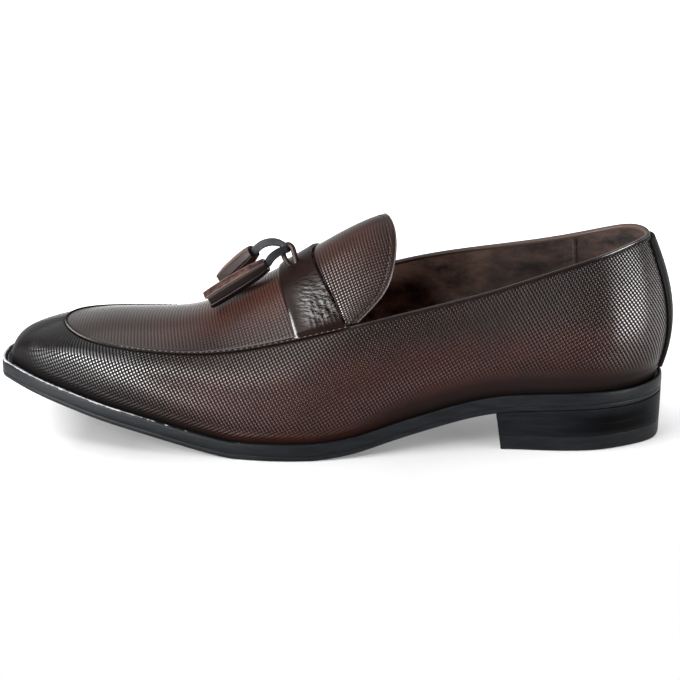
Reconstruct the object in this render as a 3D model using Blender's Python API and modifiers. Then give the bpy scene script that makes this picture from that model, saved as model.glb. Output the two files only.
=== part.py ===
"""Left tassel loafer: hollow leather upper on a welted rubber sole with a stacked heel.

The toe points along -X, the outer (lateral) side is -Y and +Z is up. The origin lies on the
ground under the middle of the shoe. Tables are in millimetres, with "along" measured from the toe.
"""
import math
from collections import namedtuple

import bpy
import numpy as np

MM = 0.001
TURN = 2 * math.pi

# Driving sizes
SHOE_LENGTH = 313.8 * MM
GAP = 0.3 * MM
SEAT_GAP = 0.45 * MM
OUTSOLE_THICK = 2.4 * MM
WELT_THICK = 5.3 * MM
SOLE_THICK = OUTSOLE_THICK + GAP + WELT_THICK
EDGE_ROUND = 0.9 * MM
UPPER_WALL = 2.0 * MM
INSOLE_THICK = 3.0 * MM
INSOLE_INSET = 3.2 * MM
BREAST_TOP = 233.0 * MM
BREAST_BOTTOM = 235.6 * MM
HEEL_TAPER = 0.4 * MM
FLANK_TAPER = 1.4
TOP_LIFT_THICK = 8.0 * MM
STRAP_THICK = 1.6 * MM
TONGUE_THICK = 1.8 * MM
BACKSTAY_THICK = 1.6 * MM
KEEPER_RADIUS = 0.9 * MM
CORD_RADIUS = 1.5 * MM
ARCH_POWER = 2.1

# Fineness of the meshes and the edges that stay sharp
SOLE_STEPS, HEEL_STEPS = 40, 14
SHARP_ANGLE = math.radians(35)
TOE_EDGE = math.radians(177)
BREAST_BLEND = 8

# Plan of the sole, height of its tread, and how far the upper stands in from its edge
SoleRow = namedtuple("SoleRow", "along lateral medial tread inset")
SOLE = [SoleRow(*row) for row in (
    (0.0, 14.0, 14.0, 20.3, 4.5),
    (1.0, 3.4, 23.6, 20.2, 4.5),
    (4.5, -2.2, 28.6, 19.7, 4.5),
    (10.0, -7.6, 32.6, 18.9, 4.5),
    (20.0, -15.5, 37.0, 17.2, 4.5),
    (37.0, -25.0, 42.0, 14.0, 4.5),
    (52.0, -32.0, 45.3, 11.2, 4.3),
    (76.0, -39.5, 49.0, 6.8, 4.0),
    (99.0, -45.3, 50.3, 2.4, 4.0),
    (121.0, -49.3, 49.8, -0.6, 4.0),
    (137.0, -50.3, 48.0, -0.7, 4.0),
    (152.0, -48.9, 45.0, 0.1, 3.8),
    (171.0, -44.4, 39.5, 2.6, 3.5),
    (183.0, -41.2, 36.0, 6.0, 3.2),
    (204.0, -37.0, 32.0, 12.0, 3.0),
    (221.0, -35.0, 31.0, 16.6, 3.0),
    (233.0, -34.3, 31.5, 18.9, 2.8),
    (254.0, -35.0, 33.4, 20.8, 2.6),
    (274.0, -34.2, 33.2, 21.6, 2.6),
    (289.0, -29.6, 29.2, 21.8, 2.6),
    (301.0, -20.2, 20.0, 21.8, 2.6),
    (309.6, 0.0, 0.0, 21.8, 2.6),
)]

# One line around the shoe: the apron seam in front, running on as the topline behind
TopRow = namedtuple("TopRow", "along lateral lateral_height medial medial_height")
TOP = [TopRow(*row) for row in (
    (31.1, 10.0, 46.6, 10.0, 46.6),
    (35.0, -3.5, 46.0, 22.0, 46.6),
    (41.6, -12.3, 45.3, 27.5, 46.3),
    (57.1, -21.5, 44.1, 32.5, 45.6),
    (79.1, -28.0, 43.8, 35.5, 44.4),
    (105.7, -31.5, 45.1, 36.5, 45.8),
    (133.2, -34.0, 50.6, 36.5, 52.8),
    (166.9, -34.5, 59.4, 35.0, 64.0),
    (198.0, -32.0, 67.1, 32.0, 73.3),
    (226.1, -30.0, 74.4, 30.5, 78.6),
    (254.5, -27.5, 83.4, 28.0, 83.6),
    (278.8, -22.5, 90.7, 23.0, 90.0),
    (292.4, -14.0, 94.2, 14.5, 95.0),
    (300.9, 0.0, 95.6, 0.0, 95.6),
)]

# Lean (degrees from upright) and handle length (share of the wall) at the wall's two ends
WallRow = namedtuple("WallRow", "degrees foot_lean foot_reach top_lean top_reach")
WALL = [WallRow(*row) for row in (
    (0, 20, 0.385, 24, 0.395),
    (30, 20, 0.38, 20, 0.38),
    (60, 14, 0.36, 16, 0.36),
    (90, 12, 0.36, 26, 0.36),
    (110, 10, 0.36, 40, 0.38),
    (135, 6, 0.37, 60, 0.40),
    (155, 3, 0.36, 68, 0.42),
    (180, 2, 0.34, 72, 0.42),
)]

# Height of the middle of the apron and tongue
RidgeRow = namedtuple("RidgeRow", "along height")
RIDGE = [RidgeRow(*row) for row in (
    (31.1, 46.6),
    (52.4, 50.0),
    (74.4, 51.6),
    (94.4, 54.8),
    (114.4, 64.4),
    (132.4, 74.4),
    (151.4, 86.4),
    (169.4, 96.8),
    (180.4, 101.2),
    (192.4, 103.0),
)]

# Strap edges and tongue join at the seam, and how far they bow forward over the middle
STRAP_FRONT, STRAP_FRONT_BOW = 142.4 * MM, 10.0 * MM
STRAP_BACK, STRAP_BACK_BOW = 165.3 * MM, 17.5 * MM
JOIN, JOIN_BOW = 154.0 * MM, 14.0 * MM
STRAP_REACH = 0.975
TONGUE_REACH = 0.955

# Free edge of the tongue: share of the half width, and how far back the edge lies
TongueRow = namedtuple("TongueRow", "across along")
TONGUE = [TongueRow(*row) for row in (
    (0.0, 181.0),
    (0.25, 185.2),
    (0.5, 186.6),
    (0.72, 185.4),
    (0.88, 180.0),
    (1.0, 168.5),
)]

# Half width of the backstay as a turn around the upper, at its foot and at its top
BACKSTAY_FOOT_TURN = math.radians(6.6)
BACKSTAY_TOP_TURN = math.radians(8.7)
BACKSTAY_FROM, BACKSTAY_TO = 0.045, 0.965

# Ends of the tassels' axes and their sections: share of the length, width and depth
TasselEnds = namedtuple("TasselEnds", "head tail")
TASSELS = {
    "tassel_lateral": TasselEnds((127.4, -8.0, 79.8), (100.8, -8.0, 62.4)),
    "tassel_medial": TasselEnds((120.3, 6.0, 81.5), (105.4, 16.9, 64.6)),
}
TasselRow = namedtuple("TasselRow", "share width depth")
TASSEL = [TasselRow(*row) for row in (
    (0.0, 6.4, 6.0),
    (0.1, 7.4, 6.8),
    (0.5, 9.0, 7.8),
    (0.9, 9.0, 7.8),
    (1.0, 8.6, 7.4),
)]
TASSEL_SIDES = 12
TASSEL_SQUARENESS = 0.6

# Route of the tassels' thong through its keeper, and of the keeper itself
CORD_ROUTE = (
    (120.7, 5.7, 81.9), (122.4, 5.0, 83.8), (125.0, 4.4, 85.8), (128.6, 4.1, 86.9),
    (132.4, 3.7, 86.6), (135.4, 2.6, 85.5), (136.9, 0.6, 84.9), (136.5, -1.5, 84.9),
    (134.3, -3.5, 85.2), (131.6, -5.6, 84.1), (129.4, -7.0, 82.4), (128.1, -7.8, 80.4),
)
KEEPER_ROUTE = (
    (136.6, 0.0, 79.8), (134.5, 0.0, 82.6), (133.9, 0.0, 85.5), (136.2, 0.0, 88.1),
    (138.9, 0.0, 87.6), (140.1, 0.0, 85.5), (140.9, 0.0, 82.5),
)


def column(rows, name):
    """One named column of a table as an array."""
    return np.array([getattr(row, name) for row in rows], float)


def smooth_curve(knots, values, at, period=None):
    """Cubic curve of even curvature through the values; closed on itself when a period is given."""
    knots = np.asarray(knots, float)
    values = np.asarray(values, float)
    if period:
        knots = np.concatenate((knots - period, knots, knots + period))
        values = np.tile(values, 3)
    step = np.diff(knots)
    slope = np.diff(values) / step
    system = np.eye(len(knots))
    change = np.zeros(len(knots))
    for i in range(1, len(knots) - 1):
        system[i, i - 1:i + 2] = step[i - 1], 2 * (step[i - 1] + step[i]), step[i]
        change[i] = 6 * (slope[i] - slope[i - 1])
    bend = np.linalg.solve(system, change)
    i = np.clip(np.searchsorted(knots, at) - 1, 0, len(knots) - 2)
    before = (knots[i + 1] - at) / step[i]
    after = 1 - before
    curving = (before**3 - before) * bend[i] + (after**3 - after) * bend[i + 1]
    return before * values[i] + after * values[i + 1] + curving * step[i]**2 / 6


def along_at(rows, turn):
    """Distance from the toe at a turn around the shoe: 0 at the heel's back, half a turn at the toe."""
    toe, heel = rows[0].along, rows[-1].along
    return ((heel + toe) / 2 + (heel - toe) / 2 * np.cos(turn)) * MM


def turn_at(rows, along):
    """Turn on the lateral side at a distance from the toe."""
    toe, heel = rows[0].along, rows[-1].along
    return np.arccos(np.clip((along / MM - (heel + toe) / 2) / ((heel - toe) / 2), -1, 1))


def around(rows, lateral, medial, turn):
    """Table value on a closed line around the shoe, lateral side first."""
    place = turn_at(rows, column(rows, "along") * MM)
    knots = np.concatenate((place[::-1], TURN - place[1:-1]))
    values = np.concatenate((column(rows, lateral)[::-1], column(rows, medial)[1:-1]))
    return smooth_curve(knots, values, np.mod(turn, TURN), TURN)


def sole_side(turn):
    """How far to the side the sole's outline lies."""
    return around(SOLE, "lateral", "medial", turn) * MM


def outline_normal(turn):
    """Level direction pointing out of the sole's outline."""
    nudge = 0.002
    ahead = along_at(SOLE, turn + nudge) - along_at(SOLE, turn - nudge)
    aside = sole_side(turn + nudge) - sole_side(turn - nudge)
    normal = np.stack((-aside, ahead), -1)
    return normal / np.linalg.norm(normal, axis=-1, keepdims=True)


def sole_outline(turn, inset):
    """Points of the sole's plan outline, moved in by an inset."""
    plan = np.stack((along_at(SOLE, turn), sole_side(turn)), -1)
    return plan - outline_normal(turn) * np.asarray(inset)[..., None]


def tread(along):
    """Height of the tread, flat on the ground under the ball of the foot."""
    return np.maximum(0, smooth_curve(column(SOLE, "along") * MM, column(SOLE, "tread") * MM, along))


def upper_inset(turn):
    """How far the upper stands in from the sole's edge."""
    return around(SOLE, "inset", "inset", turn) * MM


def foot_line(turn):
    """Lower edge of the upper, standing on the welt."""
    plan = sole_outline(turn, upper_inset(turn))
    return np.concatenate((plan, (tread(plan[..., 0]) + SOLE_THICK + SEAT_GAP)[..., None]), -1)


def top_line(turn):
    """Apron seam and topline."""
    across = around(TOP, "lateral", "medial", turn) * MM
    height = around(TOP, "lateral_height", "medial_height", turn) * MM
    return np.stack((along_at(TOP, turn), across, height), -1)


def wall_value(name, turn):
    """Column of the wall table, the same on both sides of the shoe."""
    place = np.radians(column(WALL, "degrees"))
    value = column(WALL, name)
    knots = np.concatenate((place, TURN - place[-2:0:-1]))
    return smooth_curve(knots, np.concatenate((value, value[-2:0:-1])), np.mod(turn, TURN), TURN)


def wall(turn, rise):
    """Side of the upper: rise 0 at the welt and 1 at the seam or topline."""
    foot, top = foot_line(turn), top_line(turn)
    out = outline_normal(turn)
    chord = np.linalg.norm(top - foot, axis=-1)

    def handle(end, upright):
        lean = np.radians(wall_value(end + "_lean", turn))
        level = out * np.sin(lean)[..., None]
        arm = np.concatenate((level, (upright * np.cos(lean))[..., None]), -1)
        return arm * (wall_value(end + "_reach", turn) * chord)[..., None]

    rise = np.asarray(rise)[..., None]
    fall = 1 - rise
    low = foot + handle("foot", 1)
    high = top + handle("top", -1)
    return fall**3 * foot + 3 * rise * fall**2 * low + 3 * rise**2 * fall * high + rise**3 * top


def instep(along, across):
    """Arch over the foot between the two seams: across runs from -1 lateral to 1 medial."""
    turn = turn_at(TOP, along)
    lateral, medial = top_line(turn), top_line(-turn)
    share = ((1 + across) / 2)[..., None]
    chord = lateral + (medial - lateral) * share
    ridge = smooth_curve(column(RIDGE, "along") * MM, column(RIDGE, "height") * MM, along)
    crown = ridge - (lateral[..., 2] + medial[..., 2]) / 2
    chord[..., 2] += crown * (1 - np.abs(across)**ARCH_POWER)
    return chord


def offset(surface, first, second, distance):
    """Points of a surface moved along its normal; the two inputs turn right-handed about it."""
    nudge = 0.0005
    one = surface(first + nudge, second) - surface(first - nudge, second)
    two = surface(first, second + nudge) - surface(first, second - nudge)
    normal = np.cross(one, two)
    normal /= np.linalg.norm(normal, axis=-1, keepdims=True)
    return surface(first, second) + normal * distance


def in_frame(points):
    """Points with x measured from the middle of the shoe instead of from the toe."""
    return np.asarray(points) - (SHOE_LENGTH / 2, 0, 0)


def grid_faces(rows, columns):
    """Quads of a grid of points stored row by row."""
    corner = [r * columns + c for r in range(rows - 1) for c in range(columns - 1)]
    return [(i, i + columns, i + columns + 1, i + 1) for i in corner]


def material(name, colour, roughness):
    """Principled material of a part."""
    finish = bpy.data.materials.new(name)
    finish.use_nodes = True
    shader = finish.node_tree.nodes["Principled BSDF"]
    shader.inputs["Base Color"].default_value = (*colour, 1)
    shader.inputs["Roughness"].default_value = roughness
    return finish


def add_part(name, data, finish):
    """Object of a mesh or curve in the shoe's collection."""
    part = bpy.data.objects.new(name, data)
    data.materials.append(finish)
    shoe.objects.link(part)
    return part


def mesh_part(name, points, faces, finish):
    """Object of points measured from the toe."""
    mesh = bpy.data.meshes.new(name)
    mesh.from_pydata(in_frame(points).reshape(-1, 3).tolist(), [], faces)
    mesh.shade_smooth()
    mesh.set_sharp_from_angle(angle=SHARP_ANGLE)
    return add_part(name, mesh, finish)


def thicken(part, thickness, side):
    """Solid wall from an open surface: side 1 builds outward and -1 inward."""
    shell = part.modifiers.new("wall", "SOLIDIFY")
    shell.thickness = thickness
    shell.offset = side
    shell.use_even_offset = True


def plate(name, front_turn, layers, finish, half_steps=SOLE_STEPS, margin=np.zeros_like):
    """Slab with the sole's outline from the heel's back to a straight front edge.

    Each layer, from the lowest up, holds a function of along that gives its height, an inset
    from the outline and a shift of the front edge. The flanks move in with the front edge. The margin
    is a further inset, a function of turn.
    """
    side = front_turn * np.linspace(1, 0, half_steps + 1)
    turn = np.concatenate((side, -side[-2::-1]))
    count = len(turn)
    step = np.clip((np.abs(turn) / front_turn - 0.15) / 0.35, 0, 1)
    flank = FLANK_TAPER * step**2 * (3 - 2 * step)
    points = []
    for height, inset, shift in layers:
        plan = sole_outline(turn, margin(turn) + inset + shift * flank)
        plan[:, 0] += shift * (np.abs(turn) / front_turn)**BREAST_BLEND
        points.append(np.concatenate((plan, height(plan[:, 0])[:, None]), -1))
    faces = []
    for layer in range(len(layers) - 1):
        base = layer * count
        for i in range(count):
            j = (i + 1) % count
            faces.append((base + i, base + j, base + count + j, base + count + i))
    last = (len(layers) - 1) * count
    for i in range(half_steps):
        pairs = (i, i + 1, count - 2 - i, count - 1 - i)
        strip = pairs[:2] + pairs[3:] if i == half_steps - 1 else pairs
        faces.append(tuple(reversed(strip)))
        faces.append(tuple(last + k for k in strip))
    return mesh_part(name, np.array(points), faces, finish)


def lifted(base, amount):
    """Height function a fixed amount above another."""
    return lambda along: base(along) + amount


def level(height):
    """Height function of a flat plane."""
    return lambda along: np.full_like(along, height)


def build_outsole(rubber):
    """Thin tread plate from toe to heel."""
    plate("outsole", TOE_EDGE, (
        (tread, EDGE_ROUND, 0.0),
        (lifted(tread, EDGE_ROUND), 0.0, 0.0),
        (lifted(tread, OUTSOLE_THICK), 0.0, 0.0),
    ), rubber)


def build_welt(rubber):
    """Thick welted plate that carries the upper."""
    low = lifted(tread, OUTSOLE_THICK + GAP)
    plate("welt", TOE_EDGE, (
        (low, 0.0, 0.0),
        (lifted(tread, SOLE_THICK - EDGE_ROUND), 0.0, 0.0),
        (lifted(tread, SOLE_THICK), EDGE_ROUND, 0.0),
    ), rubber)


def build_insole(leather):
    """Footbed inside the upper, resting on the welt."""
    low = lifted(tread, SOLE_THICK + SEAT_GAP)
    high = lifted(low, INSOLE_THICK)
    plate("insole", TOE_EDGE, (
        (low, EDGE_ROUND, 0.0),
        (lifted(low, EDGE_ROUND), 0.0, 0.0),
        (lifted(high, -EDGE_ROUND), 0.0, 0.0),
        (high, EDGE_ROUND, 0.0),
    ), leather, margin=lambda turn: upper_inset(turn) + INSOLE_INSET)


def build_heel_block(rubber):
    """Heel under the seat, a little narrower at its foot."""
    breast = BREAST_BOTTOM - BREAST_TOP
    share = TOP_LIFT_THICK / tread(np.array(BREAST_TOP))
    plate("heel_block", turn_at(SOLE, BREAST_TOP), (
        (level(TOP_LIFT_THICK + GAP), HEEL_TAPER * (1 - share), breast * (1 - share)),
        (lifted(tread, -GAP), 0.0, 0.0),
    ), rubber, HEEL_STEPS)


def build_heel_top_lift(rubber):
    """Wearing layer of the heel, flat on the ground."""
    breast = BREAST_BOTTOM - BREAST_TOP
    share = TOP_LIFT_THICK / tread(np.array(BREAST_TOP))
    plate("heel_top_lift", turn_at(SOLE, BREAST_TOP), (
        (level(0.0), HEEL_TAPER + EDGE_ROUND, breast + EDGE_ROUND),
        (level(EDGE_ROUND), HEEL_TAPER, breast),
        (level(TOP_LIFT_THICK), HEEL_TAPER * (1 - share), breast * (1 - share)),
    ), rubber, HEEL_STEPS)


def build_upper(leather):
    """Side walls and apron as one open surface, thickened inward."""
    behind, ahead, rises, rungs = 20, 22, 9, 12
    join_turn = turn_at(TOP, JOIN)
    collar = np.linspace(0, join_turn, behind + 1)
    vamp = np.linspace(join_turn, math.pi, ahead + 1)
    side = np.concatenate((collar, vamp[1:]))
    turn = np.concatenate((side, TURN - side[-2:0:-1]))
    count = len(turn)
    rise = np.linspace(0, 1, rises)
    points = [wall(*np.meshgrid(turn, rise)).reshape(-1, 3)]
    faces = []
    for row in range(rises - 1):
        for i in range(count):
            j = (i + 1) % count
            base = row * count
            faces.append((base + i, base + count + i, base + count + j, base + j))
    top = (rises - 1) * count
    across = np.linspace(-1, 1, rungs + 1)
    start = along_at(TOP, math.pi)
    ladder = []
    for i in range(behind, behind + ahead):
        seam = along_at(TOP, turn[i])
        bow = JOIN_BOW * ((seam - start) / (JOIN - start))**3
        inner = across[1:-1]
        first = rises * count + len(ladder) * len(inner)
        points.append(instep(seam - bow * (1 - inner**2), inner))
        ladder.append([top + i, *range(first, first + len(inner)), top + count - i])
    for near, far in zip(ladder, ladder[1:]):
        for k in range(rungs):
            faces.append((near[k], near[k + 1], far[k + 1], far[k]))
    tip = top + behind + ahead
    faces += [(ladder[-1][k], ladder[-1][k + 1], tip) for k in range(rungs)]
    upper = mesh_part("upper", np.concatenate(points), faces, leather)
    thicken(upper, UPPER_WALL, -1)


def patch(name, front, back, reach, lift, finish, steps=8, rungs=12):
    """Piece of the arch over the foot between two edges that are functions of across."""
    across, share = np.meshgrid(np.linspace(-reach, reach, rungs + 1), np.linspace(0, 1, steps + 1))
    along = front(across) + (back(across) - front(across)) * share
    points = offset(instep, along, across, lift)
    return mesh_part(name, points, grid_faces(steps + 1, rungs + 1), finish)


def bowed(at_seam, bow):
    """Edge over the foot that bows forward in the middle."""
    return lambda across: at_seam - bow * (1 - across**2)


def tongue_edge(across):
    """Free edge of the tongue."""
    place = column(TONGUE, "across")
    edge = column(TONGUE, "along")
    knots = np.concatenate((-place[:0:-1], place))
    return smooth_curve(knots, np.concatenate((edge[:0:-1], edge)), across) * MM


def build_strap(leather):
    """Saddle strap lying over the join of apron and tongue."""
    front = bowed(STRAP_FRONT, STRAP_FRONT_BOW)
    back = bowed(STRAP_BACK, STRAP_BACK_BOW)
    thicken(patch("strap", front, back, STRAP_REACH, GAP, leather), STRAP_THICK, 1)


def build_tongue(leather):
    """Flap that rises behind the strap."""
    front = bowed(JOIN + GAP, JOIN_BOW)
    thicken(patch("tongue", front, tongue_edge, TONGUE_REACH, 0.0, leather, 9), TONGUE_THICK, -1)


def build_backstay(leather):
    """Narrow strip over the seam at the heel's back."""
    rows, columns = 15, 5
    share, rise = np.meshgrid(np.linspace(-1, 1, columns), np.linspace(BACKSTAY_FROM, BACKSTAY_TO, rows))
    turn = share * (BACKSTAY_FOOT_TURN + (BACKSTAY_TOP_TURN - BACKSTAY_FOOT_TURN) * rise)
    points = offset(lambda up, round_heel: wall(round_heel, up), rise, turn, GAP)
    strip = mesh_part("backstay", points, grid_faces(rows, columns), leather)
    thicken(strip, BACKSTAY_THICK, 1)


def build_tassel(name, leather):
    """Bundle of leather fringe, a rounded block along its axis."""
    head, tail = (np.array(end) * MM for end in TASSELS[name])
    axis = (tail - head) / np.linalg.norm(tail - head)
    wide = np.cross(axis, (0, 1, 0))
    wide /= np.linalg.norm(wide)
    deep = np.cross(axis, wide)
    angle = np.arange(TASSEL_SIDES) * TURN / TASSEL_SIDES
    across = np.sign(np.cos(angle)) * np.abs(np.cos(angle))**TASSEL_SQUARENESS
    down = np.sign(np.sin(angle)) * np.abs(np.sin(angle))**TASSEL_SQUARENESS
    points = []
    for row in TASSEL:
        x = across * row.width / 2 * MM
        y = down * row.depth / 2 * MM
        points.append(head + (tail - head) * row.share + x[:, None] * wide + y[:, None] * deep)
    faces = []
    for ring in range(len(TASSEL) - 1):
        for i in range(TASSEL_SIDES):
            j = (i + 1) % TASSEL_SIDES
            base = ring * TASSEL_SIDES
            faces.append((base + i, base + j, base + TASSEL_SIDES + j, base + TASSEL_SIDES + i))
    last = (len(TASSEL) - 1) * TASSEL_SIDES
    faces.append(tuple(reversed(range(TASSEL_SIDES))))
    faces.append(tuple(range(last, last + TASSEL_SIDES)))
    mesh_part(name, np.array(points), faces, leather)


def build_cord(name, route, radius, steps, finish):
    """Tube along a smooth curve through a route."""
    place = np.arange(len(route))
    fine = np.linspace(0, len(route) - 1, steps)
    path = np.stack([smooth_curve(place, values, fine) for values in np.transpose(route)], -1)
    curve = bpy.data.curves.new(name, "CURVE")
    curve.dimensions = "3D"
    curve.bevel_depth = radius
    curve.bevel_resolution = 2
    curve.use_fill_caps = True
    spline = curve.splines.new("POLY")
    spline.points.add(steps - 1)
    for point, position in zip(spline.points, in_frame(path * MM)):
        point.co = (*position, 1)
    add_part(name, curve, finish)


for old in list(bpy.data.objects):
    bpy.data.objects.remove(old, do_unlink=True)
shoe = bpy.data.collections.new("tassel_loafer")
bpy.context.scene.collection.children.link(shoe)

build_outsole(material("outsole_rubber", (0.012, 0.012, 0.014), 0.45))
build_welt(material("welt_rubber", (0.014, 0.014, 0.016), 0.4))
build_heel_block(material("heel_rubber", (0.013, 0.013, 0.015), 0.4))
build_heel_top_lift(material("top_lift_rubber", (0.02, 0.02, 0.022), 0.5))
build_insole(material("insole_leather", (0.045, 0.025, 0.018), 0.5))
build_upper(material("grained_leather", (0.055, 0.024, 0.017), 0.35))
build_tongue(material("tongue_leather", (0.05, 0.022, 0.016), 0.35))
build_strap(material("smooth_leather", (0.03, 0.013, 0.01), 0.25))
build_backstay(material("backstay_leather", (0.008, 0.007, 0.007), 0.4))
for tassel in TASSELS:
    build_tassel(tassel, material(tassel + "_leather", (0.07, 0.025, 0.016), 0.35))
cord_leather = material("cord_leather", (0.02, 0.021, 0.024), 0.5)
keeper_leather = material("keeper_leather", (0.06, 0.022, 0.015), 0.35)
build_cord("tassel_cord", CORD_ROUTE, CORD_RADIUS, 17, cord_leather)
build_cord("tassel_keeper", KEEPER_ROUTE, KEEPER_RADIUS, 15, keeper_leather)
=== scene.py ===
"""Visual model of the left tassel loafer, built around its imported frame.

The pieces lie on the same surfaces as the frame's solids, so the tables of those surfaces are
repeated here. Tables are in millimetres: along runs back from the toe, lateral is the negative side.
"""
import math
from collections import namedtuple

import bmesh
import bpy
import numpy as np
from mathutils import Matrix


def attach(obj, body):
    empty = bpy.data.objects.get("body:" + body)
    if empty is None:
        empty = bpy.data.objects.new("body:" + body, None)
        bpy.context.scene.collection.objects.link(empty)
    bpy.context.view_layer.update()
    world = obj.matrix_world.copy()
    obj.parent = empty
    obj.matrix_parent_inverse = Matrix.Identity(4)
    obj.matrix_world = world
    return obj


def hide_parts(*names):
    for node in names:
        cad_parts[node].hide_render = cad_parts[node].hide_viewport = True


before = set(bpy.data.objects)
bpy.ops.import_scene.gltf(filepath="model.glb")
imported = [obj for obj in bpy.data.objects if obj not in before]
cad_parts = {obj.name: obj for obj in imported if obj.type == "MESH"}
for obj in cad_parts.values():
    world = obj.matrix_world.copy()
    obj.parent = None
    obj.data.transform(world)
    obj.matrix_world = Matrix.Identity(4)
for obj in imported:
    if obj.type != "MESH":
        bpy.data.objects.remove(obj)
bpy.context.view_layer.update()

MM = 0.001
TURN = 2 * math.pi
RANDOM = np.random.default_rng(7)


def table(columns, *rows):
    """Rows of numbers with named columns."""
    row_kind = namedtuple("Row", columns)
    return [row_kind(*row) for row in rows]


# Sizes of the shoe
SHOE_LENGTH = 313.8 * MM
GAP = 0.3 * MM
SEAT_GAP = 0.45 * MM
OUTSOLE_THICK = 2.4 * MM
WELT_THICK = 5.3 * MM
SOLE_THICK = OUTSOLE_THICK + GAP + WELT_THICK
UPPER_WALL = 2.0 * MM
INSOLE_THICK = 3.0 * MM
INSOLE_INSET = 3.2 * MM
BREAST_TOP = 233.0 * MM
BREAST_BOTTOM = 235.6 * MM
HEEL_TAPER = 0.4 * MM
FLANK_TAPER = 1.4
TOP_LIFT_THICK = 8.0 * MM
STRAP_THICK = 1.6 * MM
TONGUE_THICK = 1.8 * MM
BACKSTAY_THICK = 1.6 * MM
ARCH_POWER = 2.1
BREAST_BLEND = 8
TOE_EDGE = math.radians(179.4)

# Camera, at the photo's angle
CAMERA_AIM = (0.0025, 0.0, 0.045)
CAMERA_DISTANCE = 1.0
CAMERA_AZIMUTH = math.radians(3)
CAMERA_ELEVATION = math.radians(19)
VIEW_WIDTH = 0.3155
IMAGE_SIDE = 680
AIM_PIXEL = (337.35, 332.1)
FLOOR_FRONT = -0.13

# Soft lights round the shoe, and a pale card on the floor in front of its toe
LIGHTS = table(
    "name azimuth elevation distance width height power",
    ("key_left", -54, 12, 1.1, 0.85, 1.0, 49),
    ("key_high", -26, 38, 1.1, 0.36, 0.4, 4.5),
    ("key_soft", -68, 46, 1.1, 0.8, 0.5, 7),
    ("strip_right", 64, 8, 1.1, 0.7, 0.5, 16.5),
    ("rim_right", 106, 2, 1.1, 0.5, 0.5, 1.5),
    ("overhead", 180, 70, 1.4, 1.6, 1.0, 6),
)
CARD_PLACE = (-0.29, -0.16, 0.004)
CARD_SIZE = 0.28
CARD_POWER = 0.8

# Plan of the sole, height of its tread, and how far the upper stands in from its edge
SOLE = table(
    "along lateral medial tread inset",
    (0.0, 14.0, 14.0, 20.3, 4.5),
    (1.0, 3.4, 23.6, 20.2, 4.5),
    (4.5, -2.2, 28.6, 19.7, 4.5),
    (10.0, -7.6, 32.6, 18.9, 4.5),
    (20.0, -15.5, 37.0, 17.2, 4.5),
    (37.0, -25.0, 42.0, 14.0, 4.5),
    (52.0, -32.0, 45.3, 11.2, 4.3),
    (76.0, -39.5, 49.0, 6.8, 4.0),
    (99.0, -45.3, 50.3, 2.4, 4.0),
    (121.0, -49.3, 49.8, -0.6, 4.0),
    (137.0, -50.3, 48.0, -0.7, 4.0),
    (152.0, -48.9, 45.0, 0.1, 3.8),
    (171.0, -44.4, 39.5, 2.6, 3.5),
    (183.0, -41.2, 36.0, 6.0, 3.2),
    (204.0, -37.0, 32.0, 12.0, 3.0),
    (221.0, -35.0, 31.0, 16.6, 3.0),
    (233.0, -34.3, 31.5, 18.9, 2.8),
    (254.0, -35.0, 33.4, 20.8, 2.6),
    (274.0, -34.2, 33.2, 21.6, 2.6),
    (289.0, -29.6, 29.2, 21.8, 2.6),
    (301.0, -20.2, 20.0, 21.8, 2.6),
    (309.6, 0.0, 0.0, 21.8, 2.6),
)

# One line around the shoe: the apron seam in front, running on as the topline behind
TOP = table(
    "along lateral lateral_height medial medial_height",
    (31.1, 10.0, 46.6, 10.0, 46.6),
    (35.0, -3.5, 46.0, 22.0, 46.6),
    (41.6, -12.3, 45.3, 27.5, 46.3),
    (57.1, -21.5, 44.1, 32.5, 45.6),
    (79.1, -28.0, 43.8, 35.5, 44.4),
    (105.7, -31.5, 45.1, 36.5, 45.8),
    (133.2, -34.0, 50.6, 36.5, 52.8),
    (166.9, -34.5, 59.4, 35.0, 64.0),
    (198.0, -32.0, 67.1, 32.0, 73.3),
    (226.1, -30.0, 74.4, 30.5, 78.6),
    (254.5, -27.5, 83.4, 28.0, 83.6),
    (278.8, -22.5, 90.7, 23.0, 90.0),
    (292.4, -14.0, 94.2, 14.5, 95.0),
    (300.9, 0.0, 95.6, 0.0, 95.6),
)

# Lean (degrees from upright) and handle length (share of the wall) at the wall's two ends
WALL = table(
    "degrees foot_lean foot_reach top_lean top_reach",
    (0, 20, 0.385, 24, 0.395),
    (30, 20, 0.38, 20, 0.38),
    (60, 14, 0.36, 16, 0.36),
    (90, 12, 0.36, 26, 0.36),
    (110, 10, 0.36, 40, 0.38),
    (135, 6, 0.37, 60, 0.40),
    (155, 3, 0.36, 68, 0.42),
    (180, 2, 0.34, 72, 0.42),
)

# Height of the middle of the apron and tongue
RIDGE = table(
    "along height",
    (31.1, 46.6),
    (52.4, 50.0),
    (74.4, 51.6),
    (94.4, 54.8),
    (114.4, 64.4),
    (132.4, 74.4),
    (151.4, 86.4),
    (169.4, 96.8),
    (180.4, 101.2),
    (192.4, 103.0),
)

# Strap edges and tongue join at the seam, and how far they bow forward over the middle
STRAP_FRONT, STRAP_FRONT_BOW = 142.4 * MM, 10.0 * MM
STRAP_BACK, STRAP_BACK_BOW = 165.3 * MM, 17.5 * MM
JOIN, JOIN_BOW = 154.0 * MM, 14.0 * MM
STRAP_REACH = 0.995
TONGUE_REACH = 0.985

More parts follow.
